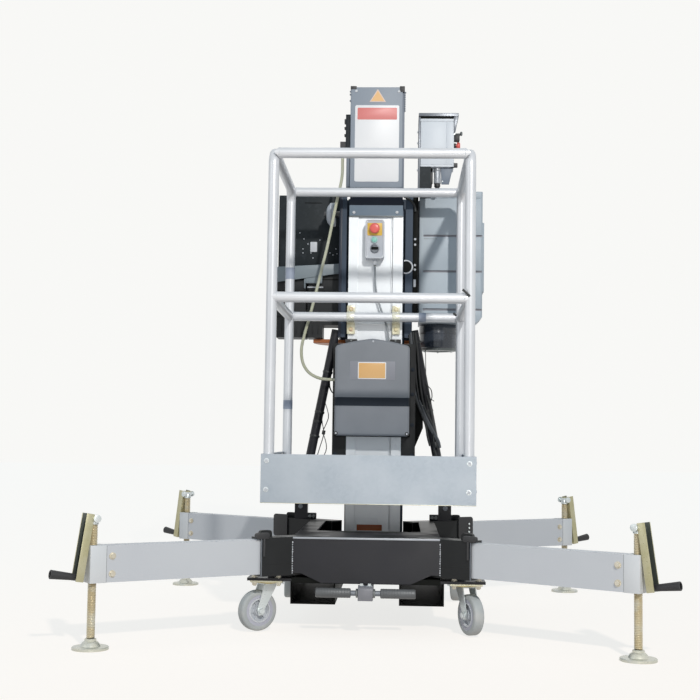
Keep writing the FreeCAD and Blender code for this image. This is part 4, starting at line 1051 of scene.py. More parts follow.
def makeHousingSigns():
    front = housing["front"]
    keep("signWhite", frontPlate("labelPlate", housing["plate"], front, 0.0014, 0.0005, 0.0003, 0.006))
    keep("signRed", frontPlate("labelBand", housing["band"], front, 0.0018, -0.001, 0.0002, 0.0025))
    middle, base, wide, tall = housing["sign"]
    for share, name, out in ((1.0, "signPale", 0.0012), (0.80, "signOrange", 0.0016)):
        foot = base + tall * (1 - share) * 0.36
        panel = addBlock("triangleSign", (middle - wide * share, front - out, foot),
            (middle + wide * share, front + 0.0002, foot + tall * share))
        sizeFaces(panel, facesTop, (0.03, 1, 1), (middle, front, foot + tall * share))
        roundEdges(panel, 0.0002, 1)
        keep(name, panel)
    return joinKept("housing_signs")


dress(makeHousing(), "carriage", "label_housing")
dress(makeHousingSigns(), "carriage")

# Control box

controls = {
    "left": 0.159, "right": 0.282, "front": 0.352, "back": 0.452, "low": 1.574, "high": 1.7515,
    "lidLine": 1.7405, "seam": 0.2535, "hoodTop": 1.772, "hoodLow": 1.7605,
    "plateScrews": [1.704, 1.6625, 1.562], "stop": (0.395, 1.6605), "toggle": (0.385, 1.7025),
}


def makeControlBox():
    left, right, front, back = (controls[k] for k in ("left", "right", "front", "back"))
    low, high = controls["low"], controls["high"]
    shell = addBlock("controlShell", (left, front, low), (right, back, high))
    roundAlong(shell, (0, 0, 1), 0.005, 4)
    roundAlong(shell, (1, 0, 0), 0.006, 4,
        lambda middle: middle.z < low + 0.002 and middle.y < front + 0.002)
    roundEdges(shell, 0.0008)
    keep("casePlastic", shell)
    lid = softBlock("controlLid", (left - 0.0008, front - 0.0022, controls["lidLine"] + 0.001),
        (right + 0.0008, back + 0.001, high), 0.0008)
    door = softBlock("controlDoor", (left + 0.0015, front - 0.0018, low + 0.0065),
        (controls["seam"] - 0.0006, front + 0.002, controls["lidLine"] - 0.0008), 0.0007)
    leaf = softBlock("controlLeaf", (controls["seam"] + 0.0006, front - 0.0018, low + 0.0065),
        (right - 0.0015, front + 0.002, controls["lidLine"] - 0.0008), 0.0007)
    for piece in (lid, door, leaf):
        keep("casePlastic", piece)
    # near-black block between the lid and the hood: painted shade of that gap
    gapShade = softBlock("hoodGapShade", (left + 0.001, front + 0.001, high - 0.001),
        (right - 0.001, back + 0.001, controls["hoodLow"] + 0.001), 0.0008)
    keep("pocketBlack", gapShade)
    hood = softBlock("controlHood", (0.152, 0.346, controls["hoodLow"]),
        (0.2985, 0.458, controls["hoodTop"]), 0.0015)
    slideFaces(hood, facesFront, (0, 0, -0.0012))
    keep("edgeSteel", hood)
    gusset = addBlock("hoodGusset", (0.2805, 0.349, 1.699), (0.2975, 0.354, 1.7615))
    sizeFaces(gusset, facesUnder, (0.35, 1, 1), (0.2805, 0.35, 1.699))
    roundEdges(gusset, 0.0008)
    keep("edgeSteel", gusset)
    keep("edgeSteel", softBlock("backPlate", (0.1515, 0.353, 1.491), (0.1592, 0.455, 1.759), 0.0012))
    for z in controls["plateScrews"]:
        keep("rimWhite", domeScrew((0.1515, 0.362, z), (-1, 0, 0), 0.0042, 0.0045))
    for x in (0.172, 0.268):
        for z in (1.592, 1.728):
            keep("zinc", domeScrew((x, back, z), (0, 1, 0), 0.004, 0.0026))


def makeStopButton(place, axis, radius, depth):
    # collar and mushroom cap with a soft rim and a shallow dish
    way = Vector(axis).normalized()
    base = Vector(place)
    collar = addRod("stopCollar", base - way * 0.001, base + way * depth * 0.35, radius * 0.72, 28)
    stem = addRod("stopStem", base, base + way * depth * 0.7, radius * 0.5, 24)
    cap = addRod("stopCap", base + way * depth * 0.5, base + way * depth * 0.82, radius, 32)
    stepFaces(cap, facing(way, 0.99), [(radius * 0.1, way * depth * 0.1), (radius * 0.16,
        way * depth * 0.06), (radius * 0.34, way * depth * 0.02)])
    roundEdges(cap, radius * 0.05, 2, 25)
    keep("blackRubber", collar)
    keep("stopRed", stem)
    keep("stopRed", cap)


def makeControlSwitches():
    right = controls["right"]
    y, z = controls["stop"]
    makeStopButton((right, y, z), (1, 0, 0), 0.0138, 0.0245)
    y, z = controls["toggle"]
    nut = addRod("toggleNut", (right - 0.001, y, z), (right + 0.005, y, z), 0.0085, 6)
    stem = addRod("toggleStem", (right, y, z), (right + 0.026, y, z + 0.0015), 0.0026, 16)
    ball = addRing("toggleBall", (right + 0.0275, y, z + 0.0015), (1, 0, 0), 0.0036, 0.0046, 20, 10)
    keep("zinc", nut)
    keep("plateGrey", stem)
    keep("plateGrey", ball)
    guard = softBlock("switchGuard", (right - 0.001, y - 0.011, 1.6755),
        (right + 0.0215, y + 0.015, 1.6985), 0.002)
    slideFaces(guard, facesTop, (0.004, 0, 0))
    keep("blackRubber", guard)
    keep("blackRubber", softBlock("underClip", (right - 0.012, 0.356, 1.5735),
        (right + 0.0135, 0.372, 1.5885), 0.0015))


def makeGland(x, y, top, bottom, radius, metal):
    # nut, sleeve and dome nut, one under the other
    steps = [(0.0, 0.16, 1.0, 6), (0.16, 0.52, 0.8, 28), (0.50, 0.74, 0.96, 6), (0.74, 0.90, 0.72, 28),
        (0.90, 1.0, 0.5, 24)]
    for first, last, share, sides in steps:
        piece = addRod("glandStep", (x, y, top + (bottom - top) * first),
            (x, y, top + (bottom - top) * last), radius * share, sides)
        roundEdges(piece, radius * 0.06, 1)
        keep(metal if last < 0.85 else "blackRubber", piece)


def makeControlUnder():
    for x in (0.172, 0.1955):
        makeGland(x, 0.39, 1.5745, 1.497, 0.0112, "blackRubber")
        keep("blackRubber", softBlock("plugBlock", (x - 0.0115, 0.372, 1.515),
            (x + 0.0105, 0.386, 1.557), 0.0015))
    makeGland(0.2225, 0.378, 1.5745, 1.495, 0.0155, "paleSteelAndEdgeHighlight")
    slant = addBlock("slantPlate", (0.2345, 0.366, 1.511), (0.2795, 0.37, 1.5745))
    sizeFaces(slant, facesUnder, (0.62, 1, 1), (0.2415, 0.37, 1.51))
    roundEdges(slant, 0.001)
    keep("housingSide", slant)
    keep("zinc", domeScrew((0.2415, 0.366, 1.522), (0, -1, 0), 0.0022, 0.0016))


makeControlBox()
makeControlSwitches()
makeControlUnder()
dress(joinKept("control_box_dressed"), "carriage", "control_box")

# Push button box and clamps on the carriage profile

print("stage: carriage details")

pendant = {
    "left": -0.037, "right": 0.031, "front": 0.318, "back": 0.3705, "low": 1.229, "high": 1.371,
    "square": (-0.0300, 0.0235, 1.3125, 1.3585), "stop": (-0.0035, 1.3365, 0.0185),
    "green": (-0.0045, 1.2975, 0.0125), "key": (-0.0025, 1.2655, 0.0165),
}


def makePendant():
    left, right, front, low, high = (pendant[k] for k in ("left", "right", "front", "low", "high"))
    case = addBlock("pendantCase", (left, front, low), (right, pendant["back"], high))
    roundAlong(case, (0, 1, 0), 0.009, 5)
    stepFaces(case, facesFront, [(0.0035, (0, 0, 0)), (0.0012, (0, 0.0028, 0))])
    roundEdges(case, 0.0009)
    painted(case, "pendantGrey")
    paintFaces(case, "rimWhite", lambda centre, normal: centre.y < front + 0.0012)
    kept.append(case)
    seam = softBlock("pendantSeam", (left - 0.0004, front + 0.026, low + 0.004),
        (right + 0.0004, front + 0.0275, high - 0.004), 0.0003)
    keep("plateGrey", seam)
    plane = front + 0.0028
    keep("buttonYellow", frontPlate("yellowPlate", pendant["square"], plane, 0.0016, 0.001, 0.0005,
        0.003))
    x, z, radius = pendant["stop"]
    makeStopButton((x, plane - 0.001, z), (0, -1, 0), radius, 0.024)
    x, z, radius = pendant["green"]
    ring = addRod("greenRing", (x, plane + 0.001, z), (x, plane - 0.0045, z), radius, 32)
    stepFaces(ring, facesFront, [(0.0022, (0, -0.0008, 0)), (0.0008, (0, 0.002, 0))])
    button = addRod("greenButton", (x, plane, z), (x, plane - 0.005, z), radius * 0.76, 28)
    stepFaces(button, facesFront, [(0.0012, (0, -0.0012, 0)), (0.003, (0, -0.0004, 0))])
    keep("mintRing", ring)
    keep("buttonGreen", button)
    x, z, radius = pendant["key"]
    dial = addRod("keyRing", (x, plane + 0.001, z), (x, plane - 0.005, z), radius, 32)
    stepFaces(dial, facesFront, [(0.0018, (0, -0.001, 0)), (0.002, (0, 0, 0)), (0.001, (0, 0.0025, 0))])
    handle = softBlock("keyHandle", (x - 0.0125, plane - 0.0135, z - 0.0028),
        (x + 0.0125, plane - 0.002, z + 0.0042), 0.0012)
    keep("edgeSteel", dial)
    keep("pocketBlack", handle)
    for sx in (left + 0.0065, right - 0.0065):
        for sz in (low + 0.0075, high - 0.0065):
            keep("zinc", domeScrew((sx, plane, sz), (0, -1, 0), 0.0019, 0.0011))
    for first, last, size, name in ((1.2295, 1.2225, 0.0085, "pendantGrey"),
        (1.2225, 1.2085, 0.0066, "rimWhite"),
                                    (1.2085, 1.2035, 0.0048, "plateGrey")):
        keep(name, roundEdges(addRod("pendantGland", (-0.002, 0.344, first), (-0.002, 0.344, last),
            size, 24), 0.0006, 1))
    return joinKept("pendant_box_dressed")


dress(makePendant(), "carriage", "pendant_box")

clamps = {
    "places": [-0.087, 0.0768], "half": 0.0135, "rail": (0.314, 1.015), "railRadius": 0.0165,
    "wrap": 0.0030,
    "tabFront": 0.3505, "tabBack": 0.3638, "upper": (1.0325, 1.0605), "lower": (0.9565, 0.9975),
    "bolts": (1.0475, 0.9735),
}


def makeClamp(x):
    half, (y, z) = clamps["half"], clamps["rail"]
    inner = clamps["railRadius"] + 0.0003
    outer = clamps["railRadius"] + clamps["wrap"]
    band = addRod("clampBand", (x - half, y, z), (x + half, y, z), outer, 40)
    block = addBlock("clampBlock", (x - half, y, z - outer), (x + half, clamps["tabBack"], z + outer))
    cutOut(band, block, "UNION")
    cutOut(band, addRod("clampHole", (x - half - 0.01, y, z), (x + half + 0.01, y, z), inner, 40))
    roundEdges(band, 0.0007)
    keep("clampGold", band)
    for low, high in (clamps["upper"], clamps["lower"]):
        tab = softBlock("clampTab", (x - half - 0.001, clamps["tabFront"], low),
            (x + half + 0.001, clamps["tabBack"], high), 0.0008, (0, 1, 0), 0.003)
        keep("paleZinc", tab)
    for height in clamps["bolts"]:
        bolt = hexBolt("clampBolt", (x, clamps["tabFront"], height), (0, -1, 0), 0.0065, 0.0045, 0.0088)
        keep("yellowZinc", bolt)


for x in clamps["places"]:
    makeClamp(x)
dress(joinKept("rail_clamps_dressed"), "carriage", "rail_clamps")

# Cover box

cover = {
    "left": -0.138, "right": 0.128, "low": 0.588, "shoulder": 0.908, "high": 0.934, "front": 0.264,
    "back": 0.3636,
    "stripe": (0.6937, 0.7242), "tape": (-0.0845, 0.076, 0.7869, 0.8526),
    "sticker": (-0.056, 0.0441, 0.7895, 0.8494),
    "clips": [(-0.1035, -0.0606), (0.0565, 0.0957)],
}


def makeCover():
    left, right, low, high = cover["left"], cover["right"], cover["low"], cover["high"]
    middle, half = (left + right) / 2, (right - left) / 2
    body = addBlock("coverBody", (left, cover["front"], low), (right, cover["back"], high))
    for i in range(1, 16):
        cutAcross(body, (left + (right - left) * i / 16, 0, 0), (1, 0, 0))
    rise = high - cover["shoulder"]
    for vertex in body.data.vertices:
        if vertex.co.z > high - 0.001:
            share = abs(vertex.co.x - middle) / half
            vertex.co.z = high - rise * (0.55 * share + 0.45 * share * share)
    roundEdges(body, 0.011, 4, 50)
    for height in cover["stripe"]:
        cutAcross(body, (0, 0, height), (0, 0, 1))
    painted(body, "coverPlastic")
    bottom, top = cover["stripe"]
    paintFaces(body, "stripeDark", lambda centre, normal: bottom < centre.z < top)
    kept.append(body)
    rim = softBlock("coverRim", (left - 0.0035, cover["back"] - 0.012, low - 0.003),
        (right + 0.0035, cover["back"], cover["shoulder"] + 0.002), 0.002)
    keep("pocketBlack", rim)
    front = cover["front"]
    keep("clearTapeAndGrooveShade", frontPlate("clearTape", cover["tape"], front, 0.0004, 0.001, 0.0001))
    l, r, b, t = cover["sticker"]
    keep("signWhite", frontPlate("stickerEdge", (l, r, b, t), front, 0.0012, 0, 0.0002, 0.003))
    inner = (l + 0.003, r - 0.003, b + 0.003, t - 0.003)
    keep("signOrange", frontPlate("stickerFace", inner, front, 0.0015, -0.001, 0.0001, 0.0015))
    for l, r in cover["clips"]:
        clip = softBlock("coverClip", (l, 0.290, 0.9205), (r, 0.350, 0.9335), 0.002)
        stepFaces(clip, facesFront, [(0.002, (0, 0, 0)), (0.001, (0, 0.002, 0))])
        keep("blackRubber", clip)
        keep("plateGrey", hexBolt("clipBolt", ((l + r) / 2, 0.29, 0.9275), (0, -1, 0), 0.0035, 0.003))
    keep("rimWhite", domeScrew((-0.003, 0.2655, 0.9235), (0, -1, 0.15), 0.0034, 0.0026))
    for x in (left + 0.0065, right - 0.0085):
        keep("blackRubber", addRod("coverLug", (x, front + 0.006, low + 0.0085),
            (x, front - 0.0005, low + 0.0085), 0.0068, 24))
        keep("rimWhite", domeScrew((x, front - 0.0005, low + 0.0085), (0, -1, 0), 0.0032, 0.002))
    return joinKept("cover_box_dressed")


dress(makeCover(), "carriage", "cover_box")

# Details on the cap and the profile

profile = {
    "half": 0.099, "front": 0.364, "low": 0.2, "high": 1.3885, "inner": 0.065,
    "capFront": 0.359, "capScrews": [(-0.0813, 1.404), (0.0761, 1.405)],
}


def makeCarriageTrim():
    front = profile["front"]
    for x, z in profile["capScrews"]:
        keep("rimWhite", domeScrew((x, profile["capFront"], z), (0, -1, 0), 0.0055, 0.004))
    keep("plateGrey", softBlock("capLip", (-0.0985, 0.3575, 1.3885), (0.0985, 0.3605, 1.3925), 0.0008))
    for x in (-0.0655, 0.0575):
        keep("silverProfile", softBlock("profileBead", (x - 0.0012, front - 0.0004, profile["low"]),
            (x + 0.0012, 0.3722, profile["high"]), 0.0004))
    keep("silverProfile", softBlock("profileStop", (-0.063, 0.3655, 0.9925), (0.055, 0.3712, 0.9985),
        0.0008))
    for z in (0.40, 0.52, 0.63, 0.74, 0.83):
        for side in (-1, 1):
            keep("stripeDark", hexBolt("plateBolt", (side * 0.139, 0.364, z), (0, -1, 0), 0.005, 0.0035,
                0.0072))
    return joinKept("carriage_trim")


dress(makeCarriageTrim(), "carriage")

# Side panel with its ledge, and the battery cases below it

print("stage: side units")

panel = {
    "left": -0.380, "right": -0.1352, "front": 0.590, "back": 0.600, "low": 1.195, "high": 1.512,
    "ledgeFront": 0.480, "ledgeHigh": 1.218, "drop": 0.035, "rise": 0.014, "sheet": 0.006,
    "window": (-0.257, -0.231, 1.292, 1.331), "slot": (-0.281, -0.215, 1.4815, 1.4845),
    "dots": [(-0.298, 1.3656), (-0.2822, 1.3423), (-0.2664, 1.323), (-0.2854, 1.3034),
        (-0.2852, 1.2879),
             (-0.2203, 1.3388), (-0.2543, 1.2881), (-0.2462, 1.2687), (-0.181, 1.2886),
             (-0.1693, 1.281),
             (-0.1581, 1.3043), (-0.154, 1.285)],
    "bracket": (-0.267, -0.2025, 1.139, 1.1948), "caseFront": 0.500,
    "cases": [(-0.374, -0.262), (-0.258, -0.1352)], "caseLow": 0.954, "notch": -0.2,
}


def makeSidePanel():
    left, right, low, high = panel["left"], panel["right"], panel["low"], panel["high"]
    front, back, lip = panel["front"], panel["back"], panel["ledgeFront"]
    sheet = softBlock("panelSheet", (left, front, low), (right, back, high), 0.0012)
    stepFaces(sheet, facesBack, [(0.012, (0, 0, 0)), (0.001, (0, -0.0025, 0))])
    ledge = softBlock("panelLedge", (left, lip + 0.002, low),
        (right, front + 0.002, panel["ledgeHigh"]), 0.0015)
    apron = addBlock("panelApron", (left, lip, low), (right, lip + panel["sheet"], panel["ledgeHigh"]))
    tall = panel["ledgeHigh"] - low
    sizeFaces(apron, facing((-1, 0, 0)), (1, 1, (tall + panel["drop"]) / tall),
        (left, lip, panel["ledgeHigh"]))
    sizeFaces(apron, facing((1, 0, 0)), (1, 1, (tall + panel["rise"]) / tall), (right, lip, low))
    roundEdges(apron, 0.0012)
    keep("blackPanel", sheet)
    keep("ledgeGrey", ledge)
    keep("ledgeGrey", apron)
    keep("rimWhite", frontPlate("whiteWindow", panel["window"], front, 0.0025, 0.001, 0.0006, 0.003))
    keep("pocketBlack", frontPlate("panelSlot", panel["slot"], front, 0.0012, 0.001, 0.0005))
    for x, z in panel["dots"]:
        keep("rimWhite", domeScrew((x, front, z), (0, -1, 0), 0.0023, 0.0018))
    for x in (left + 0.02, (left + right) / 2, right - 0.02):
        for z in (low + 0.06, high - 0.02):
            keep("zinc", domeScrew((x, back, z), (0, 1, 0), 0.0045, 0.003))
    return joinKept("side_panel_dressed")


def makeBatteryTrim():
    # lid seams, straps and ribs on the two cases, and the light bracket under the ledge
    front, low = panel["caseFront"], panel["caseLow"]
    l, r, b, t = panel["bracket"]
    keep("ledgeGrey", softBlock("bracketTop", (l, front - 0.0165, 1.158), (r, front - 0.001, t),
        0.0012))
    keep("ledgeGrey", softBlock("bracketLeg", (l - 0.004, front - 0.0125, b),
        (l + 0.002, front + 0.001, t), 0.0008))
    keep("rimWhite", softBlock("bracketBar", (l + 0.008, front - 0.0085, b + 0.002),
        (r + 0.004, front + 0.001, b + 0.007), 0.0008))
    for left, right in panel["cases"]:
        for z in (1.172, 1.128, 1.030):
            keep("pocketBlack", softBlock("caseSeam", (left - 0.0006, front - 0.0022, z),
                (right, front + 0.003, z + 0.003), 0.0006))
        for i in range(1, 6):
            x = left + (right - left) * i / 6
            if x < panel["notch"] or right < -0.2:
                keep("batteryBlack", softBlock("caseRib", (x - 0.0015, front - 0.0025, low + 0.012),
                    (x + 0.0015, front + 0.001, 1.022), 0.0007))
        for z in (1.0, 1.08, 1.16):
            keep("batteryBlack", softBlock("caseBand", (left - 0.001, 0.599, z),
                (right, 0.6035, z + 0.014), 0.0012))
    return joinKept("battery_trim")


dress(makeSidePanel(), "base", "side_panel")
dress(makeBatteryTrim(), "base")

# Loading wheel

roller = {"y": 0.497, "z": 1.420, "side": -0.135, "radius": 0.045, "inner": 0.022, "rim": 0.040,
    "outer": 0.055, "taper": 0.014, "nose": 0.020}


def makeRoller():
    y, z, side = roller["y"], roller["z"], roller["side"]
    wheel = addRod("rollerWheel", (side - roller["inner"], y, z), (side - roller["rim"], y, z),
        roller["radius"], 56)
    middle = (side, y, z)
    out = facesLeft
    reach = roller["outer"] - roller["rim"]
    stepFaces(wheel, out, [(roller["taper"], (-reach * 0.75, 0, 0)),
        (roller["radius"] - roller["taper"] - roller["nose"], (-reach * 0.25, 0, 0)),
        (0.0025, (0, 0, 0)), (0.001, (0.0025, 0, 0)), (0.0045, (0, 0, 0)), (0.0008, (-0.001, 0, 0))])
    stepFaces(wheel, facesRight, [(0.006, (0, 0, 0)), (0.0015, (-0.003, 0, 0)), (0.018, (0, 0, 0)),
        (0.001, (0.003, 0, 0))])
    roundEdges(wheel, 0.0016, 3, 30)
    keep("pendantGrey", wheel)
    for place in (0.0275, 0.0345):
        keep("plateGrey", addRing("rollerLine", (middle[0] - place, y, z), (1, 0, 0),
            roller["radius"] - 0.0006, 0.0009, 56, 8))
    return joinKept("loading_wheel_dressed")


dress(makeRoller(), "loading_wheel", "loading_wheel")

# Power cabinet and the motor below it

cabinet = {
    "left": 0.160, "right": 0.394, "front": 0.440, "rear": 0.640, "low": 1.010, "high": 1.500,
    "round": 0.009,
    "bevel": 0.022, "bulge": (0.350, 0.401, 0.455, 0.625, 1.127, 1.386),
    "grooves": [1.054, 1.196, 1.329],
    "grooveHigh": 0.008, "grooveDeep": 0.006, "seam": 1.4725,
    "mount": (0.1352, 0.161, 0.470, 0.610, 1.040, 1.470),
    "motor": (0.237, 0.565), "motorRadius": 0.073, "motorLow": 0.912,
}


def makeCabinet():
    left, right, front, rear = (cabinet[k] for k in ("left", "right", "front", "rear"))
    low, high = cabinet["low"], cabinet["high"]
    body = addBlock("cabinetBody", (left, front, low), (right, rear, high))
    roundAlong(body, (0, 1, 0), cabinet["bevel"], 1,
        lambda middle: middle.x > right - 0.001 and middle.z < low + 0.001)
    roundAlong(body, (0, 0, 1), cabinet["round"], 4, lambda middle: middle.x > right - 0.001)
    l, r, f, b, bottom, top = cabinet["bulge"]
    bulge = addBlock("cabinetBulge", (l, f, bottom), (r, b, top))
    roundAlong(bulge, (0, 0, 1), cabinet["round"], 4, lambda middle: middle.x > r - 0.001)
    cutOut(body, bulge, "UNION")
    for z in cabinet["grooves"]:
        cutOut(body, addBlock("grooveTool", (left + 0.015, front - 0.01, z),
            (r + 0.01, front + cabinet["grooveDeep"], z + cabinet["grooveHigh"])))
    cutOut(body, addBlock("seamTool", (left - 0.01, front - 0.01, cabinet["seam"]),
        (right + 0.01, front + 0.0015, cabinet["seam"] + 0.002)))
    roundEdges(body, 0.0016, 2, 50)
    painted(body, "cabinetPaint")

    # the grooves' inner faces take a darker colour: painted shade
    def shadedGroove(centre, normal):
        tall = any(z - 0.001 < centre.z < z + 0.009 for z in cabinet["grooves"])
        return tall and front + 0.003 < centre.y < front + 0.007

    paintFaces(body, "clearTapeAndGrooveShade", shadedGroove)
    kept.append(body)
    l, r, f, b, bottom, top = cabinet["mount"]
    keep("edgeSteel", softBlock("cabinetMount", (l, f, bottom), (r, b, top), 0.0012))
    for i in range(12):
        x = 0.177 + i * 0.0042
        keep("plateGrey", softBlock("smallVent", (x, front - 0.0006, 1.3205),
            (x + 0.0022, front + 0.001, 1.3232), 0.0004))
    for x in (left + 0.018, right - 0.018):
        for z in (low + 0.035, 1.255, high - 0.012):
            keep("zinc", domeScrew((x, rear, z), (0, 1, 0), 0.0048, 0.003))
    for i in range(9):
        z = 1.30 + i * 0.014
        keep("plateGrey", softBlock("backLouvre", (0.205, rear - 0.001, z),
            (0.325, rear + 0.0035, z + 0.006), 0.0015))
    return joinKept("power_cabinet_dressed")


def makeMotor():
    (x, y), radius, low = cabinet["motor"], cabinet["motorRadius"], cabinet["motorLow"]
    top = cabinet["low"]
    body = addRod("motorBody", (x, y, low + 0.012), (x, y, top - 0.0005), radius - 0.0015, 56)
    stepFaces(body, facesUnder, [(0.0022, (0, 0, -0.003)), (0.0035, (0, 0, 0))])
    keep("motorNavy", body)
    collar = addRod("motorCollar", (x, y, 0.974), (x, y, top - 0.0005), radius, 56)
    roundEdges(collar, 0.0015)
    rim = addRod("motorRim", (x, y, low + 0.0125), (x, y, low + 0.001), radius - 0.004, 56)
    stepFaces(rim, facesUnder, [(0.0055, (0, 0, -0.001)), (0.02, (0, 0, 0)), (0.002, (0, 0, 0.003))])
    roundEdges(rim, 0.001)
    keep("motorNavy", collar)
    keep("plateGrey", rim)
    for i in range(6):
        turn = math.radians(30 + i * 60)
        spot = (x + 0.058 * math.cos(turn), y + 0.058 * math.sin(turn), low + 0.001)
        keep("zinc", hexBolt("motorBolt", spot, (0, 0, -1), 0.004, 0.003))
    return joinKept("motor_dressed")


dress(makeCabinet(), "base", "power_cabinet")
dress(makeMotor(), "base", "motor")

# Mast trim: black strip with its bolts, ring with painted shade in its hole, painted shade along the
# left wing's edge, grooves behind

print("stage: mast and base details")

mastTrim = {
    "front": 0.388, "low": 0.948, "high": 1.480, "strip": (0.1352, 0.1545, 0.394, 0.440, 1.010, 1.478),
    "stripBolts": [1.312, 1.2917, 1.2158, 1.1992], "plate": (0.139, 0.1478, 1.135, 1.163),
    "boltX": 0.1436,
    "ring": (0.111, 1.208, 0.0235), "ringCut": 0.1035, "back": 0.520,
    "cable": (0.090, 1.415, 0.053, 0.100),
    "gusset": [(0.55, 0.150), (0.62, 0.179), (0.70, 0.177), (0.78, 0.166), (0.86, 0.146)],
}


def makeMastTrim():
    l, r, f, b, low, high = mastTrim["strip"]
    keep("pocketBlack", softBlock("sideStrip", (l, f, low), (r, b, high), 0.001))
    for z in mastTrim["stripBolts"]:
        keep("rimWhite", domeScrew((mastTrim["boltX"], f, z), (0, -1, 0), 0.0044, 0.0045))
    keep("rimWhite", frontPlate("stripPlate", mastTrim["plate"], f, 0.003, 0.001, 0.0006, 0.002))
    front = mastTrim["front"]
    x, z, radius = mastTrim["ring"]
    # near-black disc inside the ring: painted shade of its hole
    holeShade = addRod("ringHoleShade", (x, front + 0.0005, z), (x, front - 0.0012, z), radius - 0.001, 40)
    ring = addRing("portRing", (x, front - 0.0022, z), (0, 1, 0), radius, 0.0028, 48, 12)
    for piece, name in ((holeShade, "pocketBlack"), (ring, "rimWhite")):
        cutAcross(piece, (mastTrim["ringCut"], 0, 0), (1, 0, 0), True)
        keep(name, piece)
    low, high = mastTrim["low"], mastTrim["high"]
    # dark strip along the left wing's outer edge: painted shade
    keep("shadeNavy", softBlock("leftEdgeShade", (-0.1352, front - 0.0012, low),
        (-0.125, front + 0.001, high), 0.0005))
    x, z, radius, cut = mastTrim["cable"]
    cable = addRing("wingCable", (x, front - 0.004, z), (0, 1, 0), radius, 0.0041, 64, 12)
    cutAcross(cable, (cut, 0, 0), (1, 0, 0), True)
    cutAcross(cable, (0, 0, z - 0.002), (0, 0, 1), True)
    keep("cableBlack", cable)
    corner = mastTrim["gusset"]
    gusset = addBlock("mastGusset", (0.1345, 0.398, corner[0][0]), (0.180, 0.403, corner[-1][0]))
    for z, x in corner[1:-1]:
        cutAcross(gusset, (0, 0, z), (0, 0, 1))
    for vertex in gusset.data.vertices:
        if vertex.co.x > 0.15:
            vertex.co.x = min(corner, key=lambda mark: abs(mark[0] - vertex.co.z))[1]
    roundEdges(gusset, 0.001, 1, 10)
    keep("pocketBlack", gusset)
    back = mastTrim["back"]
    for x in (-0.096, -0.062, -0.022, 0.022, 0.062, 0.096):
        keep("darkMast", softBlock("backRib", (x - 0.0028, back - 0.001, 0.19),
            (x + 0.0028, back + 0.0022, 1.474), 0.0008))
    for z in (0.24, 0.48, 0.72, 1.08, 1.26, 1.44):
        for x in (-0.042, 0.042):
            keep("zinc", hexBolt("backBolt", (x, back, z), (0, 1, 0), 0.0055, 0.004, 0.008))
    return joinKept("mast_trim")


dress(makeMastTrim(), "base")

# Base trim, in each beam's own frame where it belongs to a socket

baseTrim = {
    "edge": (0.2175, -0.4258, -0.4236, 0.2805, 0.2862), "weldX": 0.2185, "welds": 14, "weldLow": 0.180,
    "weldStep": 0.0069,
    "front": -0.424, "bars": [(-0.1886, 0.137, 0.1685), (0.1507, 0.1375, 0.166)], "barWide": 0.0105,
    "barGap": 0.0135,
    "barFront": -0.2765, "mouth": 0.500, "half": 0.031, "low": 0.1735, "high": 0.2855, "fold": 0.2078,
    "foldEnd": 0.69,
    "plate": (0.472, 0.537, 0.220, 0.2995), "plateBolts": [0.2737, 0.2593, 0.2449],
    "hook": (0.479, 0.525, 0.2865, 0.3005),
    "foot": (0.205, 0.2365, 0.384, 0.411, 0.2862, 0.307),
}


def makeSocketTrim(front, bolts=()):
    # light lip round the mouth, fold along both sides, and the lock's plate or hook
    mouth, half, low, high = baseTrim["mouth"], baseTrim["half"], baseTrim["low"], baseTrim["high"]
    for side in (-1, 1):
        inner = side * (half - 0.0005)
        keep("edgeSteel", softBlock("mouthLip", (mouth - 0.001, inner, low),
            (mouth + 0.0022, side * (half + 0.0014), high), 0.0005))
        fold, end = baseTrim["fold"], baseTrim["foldEnd"]
        keep("shadeBlack", softBlock("sideFold", (mouth + 0.003, inner, fold),
            (end, side * (half + 0.0009), fold + 0.0022), 0.0005))
    if front:
        l, r, b, t = baseTrim["hook"]
        keep("blackRubber", softBlock("lockHook", (l, -half - 0.006, b - 0.004), (r, -half + 0.006, t),
            0.002, (0, 1, 0), 0.007))
        keep("blackRubber", addRod("lockPin", (mouth + 0.007, -half - 0.0045, 0.232),
            (mouth + 0.007, -half - 0.0045, 0.284), 0.0038, 16))
        return joinKept("socketTrim")
    l, r, b, t = baseTrim["plate"]
    keep("blackRubber", softBlock("lockPlate", (l, half, b), (r, half + 0.006, t), 0.001, (0, 1, 0),
        0.010))
    for z in bolts:
        keep("zinc", domeScrew(((l + r) / 2 - 0.014, half + 0.006, z), (0, 1, 0), 0.0038, 0.0035))
    return joinKept("socketTrim")


